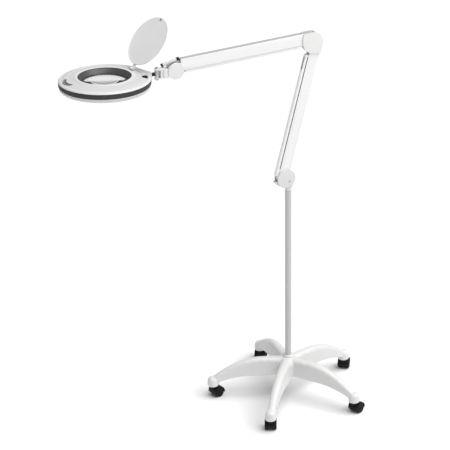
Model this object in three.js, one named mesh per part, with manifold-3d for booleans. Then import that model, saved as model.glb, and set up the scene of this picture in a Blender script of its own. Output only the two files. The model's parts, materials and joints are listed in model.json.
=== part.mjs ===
// Magnifying lamp on a five-star caster stand.
// Millimetres, +Z up, floor at z = 0. The arms lie in the XZ plane and the lamp head points towards -X.
// Names ending in _IN and _OUT are half widths across the arms, measured along Y from the arms' middle plane.
import * as THREE from 'three';
import { mergeVertices } from 'three/addons/utils/BufferGeometryUtils.js';
import Module from 'manifold-3d';

// ---------------------------------------------------------------- driving dimensions
const POLE_X = 216.98; // pole axis from the middle of the whole lamp's footprint box
const POLE_Y = -29.23;
const GAP = 0.3; // clearance between pieces that rest on each other
const BORE_GAP = 0.3; // radial clearance of a shaft in its bore

const LEG_COUNT = 5;
const LEG_YAW = 15.5; // degrees from +X to the first leg
const CASTER_CIRCLE = 242; // pole axis to caster swivel axis
const LEG_FLAT = 90; // a leg's top is level out to this radius, then it droops
const LEG_TOP = 136;
const LEG_DROOP = 65;
const LEG_UNDERSIDE = 77;
const LEG_HALF_WIDTH = [19.5, 12]; // at the pole axis and at the caster
const LEG_CORNER = 10; // rounding of the two upper edges
const HUB_R = 35;
const HUB_FLOOR = 75;
const HUB_TOP = 137;
const BOSS_R = 18; // socket over each caster
const BOSS_Z = [41, 73];

const WHEEL_R = 16.5; // axle to flat facet
const WHEEL_W = 14;
const WHEEL_INNER_Y = 4.5; // middle plane to a wheel's inner face
const WHEEL_FACETS = 20;
const CASTER_TRAIL = 14;
const AXLE_R = 2.5;
const STEM_R = 5.5;
const STEM_TOP = 65;
const HOOD_R = [17.6, 19.6];
const CASTER_YAWS = [53.5, 50, 14.5, 64.5, 25.5]; // where each caster trails, degrees from +X

const POLE_R = 10;
const POLE_WALL = 1.5;
const POLE_Z = [86, 712];
const POLE_FOOT = 12; // solid foot that the pole screw threads into
const SCREW_R = 4;

// Arms: an outer channel and an inner link run between pins, and keep the next knuckle level.
const ELBOW = [77, 1173]; // x and z of the elbow's middle pin
const LOWER_ARM = 427; // pin to pin
const LOWER_LEAN = 15.1; // degrees from upright, top towards +X
const UPPER_ARM = 437;
const UPPER_DROP = 3.3; // degrees below level, towards the head
const LINK_SPACING = 14.5; // channel pin to link pin, across the arm
const CHANNEL_HALF = 17.5; // half of the channel's side face
const CHANNEL_OUT = 9;
const CHANNEL_WALL = 1.2;
const LINK_OUT = 7.2;
const LINK_WALL = 1.2;
const LINK_DEPTH = [-12.3, 15.7]; // the link's side face, from its pins
const SLOT_HALF = 4.5; // half width of the slot in the lower link's web
const TONGUE_R = 9;
const TONGUE_HALF = 5.6; // half height of the bar behind a tongue's round tip, which passes the other pin
const LAP_GAP = 0.4; // half the gap between two tongues on one pin
const PIN_R = 3;
const COVER_IN = 9.5;
const COVER_OUT = 13;
const COVER_EDGE = 2; // chamfer round a cover's outer face
const PIN_OUT = 11.3;
const CORE_OUT = 9.2;

const KNUCKLE = [-11, 754]; // middle of the lower knuckle's covers
const KNUCKLE_R = 30;
const ELBOW_R = 32;
const WRIST_R = 25;

const SPRING_R = 5.2;
const SPRING_TURNS = 11;
const SPRING_SPAN = [95, 290]; // along the arm from its first pin
const SPRING_HEIGHT = 10; // above the channel's pin line
const ROD_R = 2;

const ROLL_DROP = 3.5; // roll axis below the wrist pin
const YOKE_PIN = 55; // wrist pin to the vertical swing bolt
const YOKE_HALF = 8;
const YOKE_Z = [11.3, 16]; // inner and outer face of a tine, from the roll axis

const HEAD_FROM_WRIST = 211.7;
const HEAD_DROP = 5.5;
const HEAD_R = 131;
const BAND_HALF = 7;
const BAND_GAP = 24; // the band stops this many degrees each side of the neck
const OPENING_R = 75.8;
const LENS_R = 68.2;
const LENS_EDGE = 2;
const LENS_CURVE = 348; // radius of both faces: about three dioptres
const NECK_END = 141;
const NECK_HALF = 9;
const SHADE_FOOT = -19; // bottom of the tube that holds the lens, from the band's middle plane
const SHADE_TUBE_R = 71;
const DIFFUSER_R = 110.3;
const LED_COUNT = 18;
const LID_R = 76.5;
const LID_HINGE_R = 90.5;
const LID_HINGE_Z = 22;
const LID_PIN_R = 1.5;
const LID_YAW = 11; // hinge seen from the lens, degrees from the neck
const LID_OPEN = 129.5; // degrees from closed
const SWITCH_AT = [113, -25]; // distance and angle from the neck
const SWITCH_R = 8.4;

const RIM = 36; // segments of the lamp head
const ROUND = 28; // segments of a cover
const SMALL = 12; // segments of a pin or rod
const DEG = Math.PI / 180;

// ---------------------------------------------------------------- solids
const wasm = await Module();
wasm.setup();

function signedVolume(geometry) {
  const points = geometry.getAttribute('position');
  const index = geometry.getIndex();
  const [a, b, c] = [new THREE.Vector3(), new THREE.Vector3(), new THREE.Vector3()];
  let sum = 0;
  for (let i = 0; i < index.count; i += 3) {
    a.fromBufferAttribute(points, index.getX(i));
    b.fromBufferAttribute(points, index.getX(i + 1));
    c.fromBufferAttribute(points, index.getX(i + 2));
    sum += a.dot(b.cross(c));
  }
  return sum / 6;
}

// Shares the vertices and turns every face outwards.
function closed(source) {
  const bare = source.clone();
  bare.deleteAttribute('normal');
  bare.deleteAttribute('uv');
  const geometry = mergeVertices(bare, 1e-4);
  if (signedVolume(geometry) < 0) {
    const order = geometry.getIndex().array;
    for (let i = 0; i < order.length; i += 3) [order[i], order[i + 1]] = [order[i + 1], order[i]];
  }
  return geometry;
}

function toSolid(source) {
  const geometry = closed(source);
  const vertProperties = new Float32Array(geometry.getAttribute('position').array);
  const triVerts = new Uint32Array(geometry.getIndex().array);
  return new wasm.Manifold(new wasm.Mesh({ numProp: 3, vertProperties, triVerts }));
}

function toGeometry(solid) {
  const mesh = solid.getMesh();
  const geometry = new THREE.BufferGeometry();
  geometry.setAttribute('position', new THREE.BufferAttribute(mesh.vertProperties, 3));
  geometry.setIndex(new THREE.BufferAttribute(mesh.triVerts, 1));
  return geometry;
}

function join(...pieces) {
  return toGeometry(pieces.map(toSolid).reduce((whole, piece) => whole.add(piece)));
}

function cut(body, ...tools) {
  return toGeometry(tools.map(toSolid).reduce((rest, tool) => rest.subtract(tool), toSolid(body)));
}

// ---------------------------------------------------------------- shapes
// Points along an arc, angles in degrees.
function arc(cx, cy, radius, from, to, steps) {
  const points = [];
  for (let i = 0; i <= steps; i += 1) {
    const angle = (from + ((to - from) * i) / steps) * DEG;
    points.push([cx + radius * Math.cos(angle), cy + radius * Math.sin(angle)]);
  }
  return points;
}

function outline(points) {
  return new THREE.Shape(points.map(([x, y]) => new THREE.Vector2(x, y)));
}

// A solid of revolution about Z from points (radius, z).
function turned(profile, segments = ROUND) {
  const points = profile.map(([r, z]) => new THREE.Vector2(r, z));
  return new THREE.LatheGeometry(points, segments).rotateX(Math.PI / 2);
}

// A closed ring section (radius, z), turned about Z.
function ring(section, segments = ROUND) {
  return turned([...section, section[0]], segments);
}

// A flat outline in x and y, raised from z0 to z1.
function prism(points, z0, z1) {
  const geometry = new THREE.ExtrudeGeometry(outline(points), { depth: z1 - z0, bevelEnabled: false });
  return geometry.translate(0, 0, z0);
}

// A flat outline in x and z, with its thickness along Y from y0 to y1.
function slab(points, y0, y1) {
  const geometry = new THREE.ExtrudeGeometry(outline(points), { depth: y1 - y0, bevelEnabled: false });
  return geometry.rotateX(Math.PI / 2).translate(0, y1, 0);
}

function disc(x, z, radius, y0, y1, segments = ROUND) {
  return slab(arc(x, z, radius, 0, 360 - 360 / segments, segments - 1), y0, y1);
}

function block(x0, x1, y0, y1, z0, z1) {
  const geometry = new THREE.BoxGeometry(x1 - x0, y1 - y0, z1 - z0);
  return geometry.translate((x0 + x1) / 2, (y0 + y1) / 2, (z0 + z1) / 2);
}

// A rod along X, Y or Z.
function rod(axis, radius, from, to, segments = SMALL) {
  const geometry = new THREE.CylinderGeometry(radius, radius, to - from, segments);
  geometry.translate(0, (from + to) / 2, 0);
  if (axis === 'x') geometry.rotateZ(-Math.PI / 2);
  if (axis === 'z') geometry.rotateX(Math.PI / 2);
  return geometry;
}

// ---------------------------------------------------------------- materials
const white = { color: 0xf1f1f0, roughness: 0.45, metalness: 0 };
const paleGrey = { color: 0xd9d9d8, roughness: 0.5, metalness: 0 };
const darkGrey = { color: 0x47484a, roughness: 0.7, metalness: 0 };
const black = { color: 0x141415, roughness: 0.55, metalness: 0 };
const steel = { color: 0xb4b6b8, roughness: 0.35, metalness: 1 };
const paintedSteel = { color: 0xd0d1d2, roughness: 0.4, metalness: 0.2 };
const glass = { color: 0xe6f0ee, roughness: 0.05, metalness: 0, transparent: true, opacity: 0.35 };
const frosted = { color: 0xf4f4f2, roughness: 0.6, metalness: 0 };
const circuit = { color: 0xe8e8e0, roughness: 0.6, metalness: 0 };

function part(group, name, geometry, finish) {
  const mesh = new THREE.Mesh(closed(geometry), new THREE.MeshStandardMaterial(finish));
  mesh.name = name;
  group.add(mesh);
  return mesh;
}

// ---------------------------------------------------------------- star base
function legHeight(radius) {
  const droop = Math.max(0, (radius - LEG_FLAT) / (CASTER_CIRCLE - LEG_FLAT));
  return LEG_TOP - LEG_DROOP * droop ** 1.9;
}

function legUnderside(radius) {
  const start = CASTER_CIRCLE / 2;
  const droop = Math.max(0, (radius - start) / start);
  return LEG_UNDERSIDE - (LEG_UNDERSIDE - BOSS_Z[0] - 6) * droop ** 2;
}

// One leg along +X, as rounded-top sections joined by skin.
function leg() {
  const stations = [0, 90, 125, 155, 185, 215, 242];
  const [rootHalf, tipHalf] = LEG_HALF_WIDTH;
  const sections = stations.map((radius) => {
    const half = rootHalf + ((tipHalf - rootHalf) * radius) / CASTER_CIRCLE;
    const corner = Math.min(LEG_CORNER, half - 1);
    const top = legHeight(radius);
    const section = [[-half, legUnderside(radius)], [half, legUnderside(radius)]];
    section.push(...arc(half - corner, top - corner, corner, 0, 90, 3));
    section.push(...arc(corner - half, top - corner, corner, 90, 180, 3));
    return section.map(([y, z]) => [radius, y, z]);
  });
  return skin(sections);
}

// Joins equal, convex rings of points into one closed solid.
function skin(sections) {
  const size = sections[0].length;
  const geometry = new THREE.BufferGeometry();
  const index = [];
  for (let s = 0; s + 1 < sections.length; s += 1) {
    for (let i = 0; i < size; i += 1) {
      const [a, b] = [s * size + i, s * size + ((i + 1) % size)];
      index.push(a, b, b + size, a, b + size, a + size);
    }
  }
  const last = (sections.length - 1) * size;
  for (let i = 1; i + 1 < size; i += 1) {
    index.push(0, i + 1, i);
    index.push(last, last + i, last + i + 1);
  }
  geometry.setAttribute('position', new THREE.Float32BufferAttribute(sections.flat(2), 3));
  geometry.setIndex(index);
  return geometry;
}

function starBase() {
  const [bossFoot, bossTop] = BOSS_Z;
  const boss = [[0, bossFoot], [BOSS_R - 1, bossFoot], [BOSS_R, bossFoot + 3]];
  boss.push([BOSS_R - 1.5, bossFoot + 14], [BOSS_R - 5, bossTop - 7]);
  boss.push([BOSS_R - 11, bossTop - 1.5], [0, bossTop]);
  const hub = [[0, HUB_FLOOR], [HUB_R, HUB_FLOOR], [HUB_R, HUB_TOP - 19], [HUB_R - 6, HUB_TOP - 6]];
  hub.push([HUB_R - 14, HUB_TOP], [0, HUB_TOP]);
  const pieces = [turned(hub, 20)];
  const holes = [rod('z', POLE_R + GAP, POLE_Z[0] - GAP, HUB_TOP + 10, 24)];
  holes.push(rod('z', SCREW_R + GAP, HUB_FLOOR - 10, POLE_Z[0] + 2));
  for (let i = 0; i < LEG_COUNT; i += 1) {
    const yaw = (LEG_YAW + (360 / LEG_COUNT) * i) * DEG;
    const stemBore = rod('z', STEM_R + BORE_GAP, bossFoot - 10, STEM_TOP + 1);
    pieces.push(leg().rotateZ(yaw));
    pieces.push(turned(boss, SMALL).translate(CASTER_CIRCLE, 0, 0).rotateZ(yaw));
    holes.push(stemBore.translate(CASTER_CIRCLE, 0, 0).rotateZ(yaw));
  }
  return cut(join(...pieces), ...holes);
}

function pole() {
  const inside = POLE_R - POLE_WALL;
  const [foot, top] = POLE_Z;
  const step = foot + POLE_FOOT;
  const bore = SCREW_R + GAP;
  return ring([[bore, foot], [POLE_R, foot], [POLE_R, top], [inside, top], [inside, step], [bore, step]], 24);
}

function poleCollar() {
  const inside = POLE_R + GAP;
  const foot = HUB_TOP + GAP;
  return ring([[inside, foot], [16, foot], [15, foot + 4], [12.5, foot + 6.5], [inside, foot + 6.5]], 24);
}

function poleScrew() {
  const seat = HUB_FLOOR - GAP;
  const tip = POLE_Z[0] + POLE_FOOT + 4;
  return turned([[0, seat - 5], [8, seat - 5], [8, seat], [SCREW_R, seat], [SCREW_R, tip], [0, tip]], SMALL);
}

// ---------------------------------------------------------------- casters
// A twin-wheel caster with its swivel axis on z and its axle trailing along +X.
function casterHood() {
  const [inner, outer] = HOOD_R;
  const width = WHEEL_INNER_Y + WHEEL_W;
  const half = WHEEL_INNER_Y - 1;
  const shell = slab([...arc(0, 0, outer, -12, 192, 12), ...arc(0, 0, inner, 192, -12, 12)], -width, width);
  const web = slab(arc(0, 0, outer - 1, -25, 205, SMALL), -half, half);
  const axle = rod('y', AXLE_R, -width + 1, width - 1);
  const trailing = [shell, web, axle].map((piece) => piece.translate(CASTER_TRAIL, 0, WHEEL_R));
  const neck = rod('z', 9, 2 * WHEEL_R + 0.5, BOSS_Z[0] - 1.5);
  const stem = rod('z', STEM_R, BOSS_Z[0] - 5, STEM_TOP);
  return join(...trailing, neck, stem);
}

// side is 1 or -1, for the wheel towards +Y or -Y.
function casterWheel(side) {
  const radius = WHEEL_R / Math.cos(Math.PI / WHEEL_FACETS);
  const bore = AXLE_R + BORE_GAP;
  const wheel = ring([[bore, 0], [radius, 0], [radius, WHEEL_W], [bore, WHEEL_W]], WHEEL_FACETS);
  wheel.rotateZ(Math.PI / WHEEL_FACETS).rotateX(side > 0 ? -Math.PI / 2 : Math.PI / 2);
  return wheel.translate(CASTER_TRAIL, side * WHEEL_INNER_Y, WHEEL_R);
}

// ---------------------------------------------------------------- arms
// Arm pieces are drawn with the arm along +X from its first pin and its outer face towards +Z.
function tongue(end, y0, y1, radius, reach) {
  const inward = end > 0 ? -1 : 1;
  const tip = disc(end, 0, radius, y0, y1, 16);
  const [from, to] = [end, end + inward * reach].sort((a, b) => a - b);
  return join(tip, block(from, to, y0, y1, -TONGUE_HALF, TONGUE_HALF));
}

// starts: how far the side faces and the web stay from the pins, at the first and the last pin.
function channel(length, starts) {
  const [first, last] = starts;
  const inside = CHANNEL_OUT - CHANNEL_WALL;
  const box = block(first, length - last, -CHANNEL_OUT, CHANNEL_OUT, -CHANNEL_HALF, CHANNEL_HALF);
  const hollow = block(-30, length + 30, -inside, inside, -CHANNEL_HALF - 5, CHANNEL_HALF - CHANNEL_WALL);
  const body = join(
    box,
    tongue(0, -CHANNEL_OUT, CHANNEL_OUT, TONGUE_R, first + 8),
    tongue(length, -CHANNEL_OUT, CHANNEL_OUT, TONGUE_R, last + 8),
  );
  const bores = [0, length].map((at) => rod('y', PIN_R + BORE_GAP, -20, 20).translate(at, 0, 0));
  return cut(body, hollow, ...bores);
}

// laps: the side of the middle plane (-1 or 1) that the tongue at each end takes, or 0 for both sides.
// starts: how far the side faces and the web stay from the pins, at the first and the last pin.
// nose: how far from the first pin the lower half of the side faces and the web begin.
function link(length, starts, laps, nose) {
  const inside = LINK_OUT - LINK_WALL;
  const [low, high] = LINK_DEPTH;
  const box = join(
    block(starts[0], length - starts[1], -LINK_OUT, LINK_OUT, low, high),
    block(nose, starts[0] + 1, -LINK_OUT, LINK_OUT, low, TONGUE_R - 2),
  );
  const hollow = block(-30, length + 30, -inside, inside, low + LINK_WALL, high + 20);
  const ends = laps.map((lap, i) => {
    const across = lap === 0 ? [-LINK_OUT, LINK_OUT] : [lap * LAP_GAP, lap * LINK_OUT];
    const [y0, y1] = across.sort((a, b) => a - b);
    return tongue(i * length, y0, y1, TONGUE_R - 1, starts[i] + 6);
  });
  const hollowed = ends.filter((_, i) => laps[i] === 0);
  const solid = ends.filter((_, i) => laps[i] !== 0);
  const bores = [0, length].map((at) => rod('y', PIN_R + BORE_GAP, -20, 20).translate(at, 0, 0));
  return cut(join(cut(join(box, ...hollowed), hollow), ...solid), ...bores);
}

// Tension spring as one corrugated body with a hooked rod at each end.
function spring() {
  const [from, to] = SPRING_SPAN;
  const pitch = (to - from) / SPRING_TURNS;
  const profile = [[0, 30], [ROD_R, 30], [ROD_R, from]];
  for (let i = 0; i < SPRING_TURNS; i += 1) {
    profile.push([SPRING_R - 1.3, from + pitch * i], [SPRING_R, from + pitch * (i + 0.5)]);
  }
  profile.push([SPRING_R - 1.3, to], [ROD_R, to], [ROD_R, to + 12], [0, to + 12]);
  return turned(profile, 8).rotateY(Math.PI / 2).translate(0, 0, SPRING_HEIGHT);
}

// Cross block in the channel that holds the spring's far end.
function springAnchor() {
  const inside = CHANNEL_OUT - CHANNEL_WALL - GAP;
  const roof = CHANNEL_HALF - CHANNEL_WALL - GAP;
  const at = SPRING_SPAN[1] + 12 + GAP;
  return block(at, at + 8, -inside, inside, SPRING_HEIGHT - 3.5, roof);
}

// A round cover plate; side -1 faces -Y. pins are the x and z of its blind sockets, corners extra outline.
function cover(centre, radius, side, pins, corners = []) {
  const [x, z] = centre;
  const inner = side * COVER_IN;
  const face = side * COVER_OUT;
  const edge = side * (COVER_OUT - COVER_EDGE);
  const plate = disc(x, z, radius, Math.min(inner, edge), Math.max(inner, edge));
  const raised = disc(x, z, radius - COVER_EDGE, Math.min(inner, face), Math.max(inner, face));
  const sockets = pins.map(([px, pz]) => {
    const depth = side * (PIN_OUT + GAP);
    return disc(px, pz, PIN_R + GAP, Math.min(0, depth), Math.max(0, depth), SMALL);
  });
  const extra = corners.map((points) => slab(points, Math.min(inner, edge), Math.max(inner, edge)));
  return cut(join(plate, raised, ...extra), ...sockets);
}

function pin([x, z]) {
  return rod('y', PIN_R, -PIN_OUT, PIN_OUT).translate(x, 0, z);
}

// x and z of a point that lies s along an arm from its pin and w towards its outer face.
function along(pivot, angle, s, w) {
  const [ux, uz] = [Math.cos(angle), Math.sin(angle)];
  return [pivot[0] + s * ux + w * uz, pivot[1] + s * uz - w * ux];
}

// ---------------------------------------------------------------- arm pins
const lowerAngle = (90 - LOWER_LEAN) * DEG; // from the knuckle up to the elbow
const upperAngle = (180 + UPPER_DROP) * DEG; // from the elbow out to the wrist
const knuckleLinkPin = along(ELBOW, lowerAngle, -LOWER_ARM, 0);
const knucklePin = along(knuckleLinkPin, lowerAngle, 0, LINK_SPACING);
const elbowLowerPin = along(ELBOW, lowerAngle, 0, LINK_SPACING);
const elbowUpperPin = along(ELBOW, upperAngle, 0, LINK_SPACING);
const wristPin = along(ELBOW, upperAngle, UPPER_ARM, 0);
const wristArmPin = along(elbowUpperPin, upperAngle, UPPER_ARM, 0);

// Lays an arm piece between its pins, with its +Z on the arm's outer side and its +Y towards -Y.
function layAlong(mesh, [x, z], angle) {
  mesh.position.set(x, 0, z);
  mesh.rotateY(-angle).rotateX(Math.PI);
}

// ---------------------------------------------------------------- knuckles
function knuckleCore() {
  const [x, z] = KNUCKLE;
  const spigot = POLE_R - POLE_WALL - BORE_GAP;
  const sector = [...arc(0, 0, KNUCKLE_R, -165, -8, 20), ...arc(0, 0, 21, -8, -165, 16)];
  const ear = [[-18, -24], [-30, -16.5], [-36, -10], [-34, -6.5], [-20, -10]];
  const shoulder = [[-24, -16], [-x - POLE_R - 0.5, -30.4], [-x + POLE_R + 0.5, -30.4]];
  shoulder.push([24, -14], [16, -14], [-12, -17]);
  const flat = [sector, ear, shoulder].map((points) => slab(points, -CORE_OUT, CORE_OUT).translate(x, 0, z));
  const top = POLE_Z[1];
  const collar = z - KNUCKLE_R - GAP;
  const post = turned([
    [0, top - 42], [spigot - 1, top - 42], [spigot, top - 40], [spigot, top + GAP],
    [POLE_R + 0.5, top + GAP], [POLE_R + 0.5, collar], [CORE_OUT, collar], [CORE_OUT, z - 24], [0, z - 24],
  ], 24);
  return join(...flat, post);
}

function elbowSpacer() {
  const [x, z] = ELBOW;
  const crescent = [...arc(0, 0, ELBOW_R, -2, 76, 14), ...arc(0, 0, 24.8, 76, -2, 10)];
  return slab(crescent, -CORE_OUT, CORE_OUT).translate(x, 0, z);
}

function elbowCover(side) {
  const upperCorner = [
    along(elbowUpperPin, upperAngle, 0, CHANNEL_HALF), along(elbowUpperPin, upperAngle, 24, CHANNEL_HALF),
    along(elbowUpperPin, upperAngle, 29, -6), ELBOW,
  ];
  const lowerCorner = [
    along(elbowLowerPin, lowerAngle, 0, CHANNEL_HALF), ELBOW,
    along(elbowLowerPin, lowerAngle, -29, -6), along(elbowLowerPin, lowerAngle, -24, CHANNEL_HALF),
  ];
  return cover(ELBOW, ELBOW_R, side, [ELBOW, elbowLowerPin, elbowUpperPin], [upperCorner, lowerCorner]);
}

// ---------------------------------------------------------------- wrist
// Drawn from the wrist pin at the origin, towards the head along -X.
function tiltFork() {
  const body = slab([[-37, -18], [-20, -18], [-20, 9], [-37, 9]], -11, 11);
  const saddle = slab([[-37, 8], [-31, 8], [-31, 14.8], [-37, 13.3]], -4, 4);
  const hollow = disc(0, 0, WRIST_R + 1, -20, 20);
  const tip = disc(0, 0, TONGUE_R - 1, -LINK_OUT, -LAP_GAP, 16);
  const inner = join(tip, block(-30, 0, -LINK_OUT, -LAP_GAP, -5, 5));
  const rollBore = rod('x', 5 + BORE_GAP, -50, -31).translate(0, 0, -ROLL_DROP);
  const pinBore = rod('y', PIN_R + BORE_GAP, -20, 20);
  return cut(join(cut(body, hollow), inner, saddle), rollBore, pinBore);
}

// Flexible sleeve that carries the lamp's lead over the wrist, from the fork to the end of the upper arm.
function cableSleeve() {
  const [from, slope, length] = [[-42, 19], 14, 57];
  const bar = rod('x', 5.2, 0, length, 16);
  const ends = [rod('x', 5.8, 0, 5, 16), rod('x', 5.8, length - 6, length, 16)];
  return join(bar, ...ends).rotateY(-slope * DEG).translate(from[0], 0, from[1]);
}

// C-shaped yoke; it rolls on its stub in the fork and holds the head's post between two tines.
function yoke() {
  const [inner, outer] = YOKE_Z;
  const web = block(-46, -37 - GAP, -YOKE_HALF, YOKE_HALF, -outer, outer);
  const tines = [[inner, outer], [-outer, -inner]].map(([z0, z1]) => {
    const round = turned([[0, z0], [YOKE_HALF, z0], [YOKE_HALF, z1], [0, z1]], 16).translate(-YOKE_PIN, 0, 0);
    return join(round, block(-YOKE_PIN, -40, -YOKE_HALF, YOKE_HALF, z0, z1));
  });
  const stub = rod('x', 5, -40, -32);
  const bore = rod('z', PIN_R + BORE_GAP, -30, 30).translate(-YOKE_PIN, 0, 0);
  const envelope = toSolid(rod('x', outer + 0.2, -80, -30, ROUND));
  const rounded = toGeometry(toSolid(join(web, ...tines, stub)).intersect(envelope));
  return cut(rounded, bore).translate(0, 0, -ROLL_DROP);
}

function swingBolt() {
  const seat = YOKE_Z[1] + GAP;
  const half = [[0, -seat - 3], [5, -seat - 3], [5, -seat], [PIN_R, -seat]];
  const other = half.map(([r, z]) => [r, -z]).reverse();
  return turned([...half, ...other], SMALL).translate(-YOKE_PIN, 0, -ROLL_DROP);
}

// ---------------------------------------------------------------- lamp head
// Drawn from the middle of the lens: the neck points to +X and the band's middle plane is z = 0.
function teardrop(radius, end, half) {
  const touch = Math.acos((radius - half) / (end - half)) / DEG;
  return [...arc(0, 0, radius, touch, 360 - touch, ROUND), ...arc(end - half, 0, half, -touch, touch, 8)];
}

// The neck's outer half shell between z0 and z1, outside the round part of the head.
function neckShell(z0, z1) {
  const keep = 126.5;
  const round = turned([[0, -30], [keep, -30], [keep, 30], [0, 30]], RIM);
  const away = block(-200, HEAD_R * Math.cos(BAND_GAP * DEG) + GAP, -200, 200, -40, 40);
  return cut(prism(teardrop(HEAD_R - 0.6, NECK_END, NECK_HALF), z0, z1), round, away);
}

function postRoom() {
  return block(105, 170, -6.3, 6.3, -2.3, 6.3);
}

function topCover() {
  const rim = BAND_HALF + GAP;
  const shell = ring([
    [HEAD_R - 0.6, rim], [126.5, 11.5], [113, 15.8], [95, 17.6], [80, 18.6], [OPENING_R, 18.8],
    [OPENING_R, 16.2], [95, 15], [112, 13.2], [122, 9.8], [125, rim],
  ], RIM);
  const [at, angle] = SWITCH_AT;
  const hole = rod('z', SWITCH_R + GAP, 0, 30, 24);
  hole.translate(at * Math.cos(angle * DEG), at * Math.sin(angle * DEG), 0);
  const lug = slab([[-4, -6.6], [4, -6.6], ...arc(0, 0, 3.6, 0, 180, 8)], 0, 4);
  lug.translate(LID_HINGE_R, 0, LID_HINGE_Z);
  const lugs = [7, -11].map((y) => lug.clone().translate(0, y, 0).rotateZ(LID_YAW * DEG));
  const pinHole = rod('y', LID_PIN_R + BORE_GAP, -20, 20);
  pinHole.translate(LID_HINGE_R, 0, LID_HINGE_Z).rotateZ(LID_YAW * DEG);
  const grip = [...arc(-84, 0, 38.5, 130, 230, 14), ...arc(-70, 0, 40, 220, 140, 14)];
  const pan = [...arc(-84, 0, 40, 126, 234, 14), ...arc(-70, 0, 38, 224, 136, 14)];
  const recess = prism(grip, 10.6, 30);
  const neck = neckShell(GAP / 2, rim + 2.4);
  return cut(join(shell, prism(pan, 9.4, 11.6), neck, ...lugs), recess, hole, pinHole, postRoom());
}

function bottomCover() {
  const rim = -BAND_HALF - GAP;
  const seat = DIFFUSER_R + GAP;
  const shell = ring([
    [129.5, rim], [129, -14], [125, -18.5], [118, -20.5], [seat, -20.5],
    [seat, -17.9], [117, -17.5], [122, -14.5], [124.5, rim],
  ], RIM);
  const wall = ring([[122.5, rim - 2], [126.2, rim - 2], [126.2, rim + 9], [122.5, rim + 9]], RIM);
  const neck = neckShell(rim - 1.5, -GAP / 2);
  return cut(join(shell, wall, neck), postRoom());
}

function band() {
  const [from, to] = [BAND_GAP, 360 - BAND_GAP];
  const shape = [...arc(0, 0, HEAD_R, from, to, RIM), ...arc(0, 0, 127.2, to, from, RIM)];
  return prism(shape, -BAND_HALF, BAND_HALF);
}

// Dark conical shade from the opening down to the lens.
function shade() {
  const inner = OPENING_R - GAP;
  const seat = LENS_R + GAP;
  const section = [[inner, 18.6], [64.3, 4.2], [64.3, 3.1], [seat, 3.1], [seat, SHADE_FOOT]];
  section.push([SHADE_TUBE_R, SHADE_FOOT], [SHADE_TUBE_R, 5], [inner, 15]);
  return ring(section, RIM);
}

function lens() {
  const steps = 4;
  const face = [];
  for (let i = 0; i <= steps; i += 1) {
    const r = (LENS_R * i) / steps;
    face.push([r, LENS_EDGE + (LENS_R ** 2 - r ** 2) / (2 * LENS_CURVE)]);
  }
  return turned([...face.map(([r, z]) => [r, -z]), ...face.reverse()], RIM);
}

function lensRing() {
  return ring([[64.5, -6.5], [LENS_R, -6.5], [LENS_R, -3.1], [64.5, -3.1]], RIM);
}

function ledBoard() {
  const board = ring([[77, -2], [108, -2], [108, -0.4], [77, -0.4]], RIM);
  const chips = [];
  for (let i = 0; i < LED_COUNT; i += 1) {
    chips.push(block(90.6, 94.4, -1.6, 1.6, -2.9, -1).rotateZ((2 * Math.PI * i) / LED_COUNT));
  }
  return join(board, ...chips);
}

function diffuser() {
  const [inner, foot, top] = [SHADE_TUBE_R + GAP, -18.6, -16.4];
  return ring([[inner, foot], [DIFFUSER_R, foot], [DIFFUSER_R, top], [inner, top]], RIM);
}

function driverBoard() {
  const board = block(-105, -84, -30, 30, 3, 4.6);
  const coil = block(-100, -89, -22, -8, 4, 9);
  const chip = block(-98, -90, 4, 14, 4, 7);
  return join(board, coil, chip);
}

function switchButton() {
  const [at, angle] = SWITCH_AT;
  const flange = SWITCH_R + 1.2;
  const button = [[0, 6.6], [flange, 6.6], [flange, 8.2], [SWITCH_R, 8.2]];
  button.push([SWITCH_R, 16.4], [SWITCH_R - 1, 17.2], [0, 17.2]);
  return turned(button, 24).translate(at * Math.cos(angle * DEG), at * Math.sin(angle * DEG), 0);
}

// Drawn closed with its hinge axis at the origin and the lens side towards -X.
function lid() {
  const plateTop = 22.4 - LID_HINGE_Z;
  const plate = turned([
    [0, plateTop - 3], [LID_R - 1, plateTop - 3], [LID_R, plateTop - 2.2], [LID_R, plateTop - 0.8],
    [LID_R - 2, plateTop], [0, plateTop + 0.8],
  ], RIM).translate(-LID_HINGE_R, 0, 0);
  const strap = block(-24, 0, -6.5, 6.5, plateTop - 0.2, plateTop + 1.8);
  const barrel = rod('y', 3.2, -6.5, 6.5);
  const bore = rod('y', LID_PIN_R + BORE_GAP, -20, 20);
  const scoop = rod('z', 4.5, plateTop - 4, plateTop - 2, 16).translate(7 - LID_HINGE_R - LID_R, 0, 0);
  return cut(join(plate, strap, barrel), bore, scoop);
}

// ---------------------------------------------------------------- assembly
const lamp = new THREE.Group();
lamp.position.set(POLE_X, POLE_Y, 0);

part(lamp, 'star_base', starBase(), white);
part(lamp, 'pole', pole(), paintedSteel);
part(lamp, 'pole_collar', poleCollar(), white);
part(lamp, 'pole_screw', poleScrew(), steel);

for (let i = 0; i < LEG_COUNT; i += 1) {
  const yaw = (LEG_YAW + (360 / LEG_COUNT) * i) * DEG;
  const caster = new THREE.Group();
  caster.position.set(CASTER_CIRCLE * Math.cos(yaw), CASTER_CIRCLE * Math.sin(yaw), 0);
  caster.rotation.z = CASTER_YAWS[i] * DEG;
  part(caster, `caster_${i + 1}_hood`, casterHood(), black);
  part(caster, `caster_${i + 1}_left_wheel`, casterWheel(1), black);
  part(caster, `caster_${i + 1}_right_wheel`, casterWheel(-1), black);
  lamp.add(caster);
}

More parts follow.
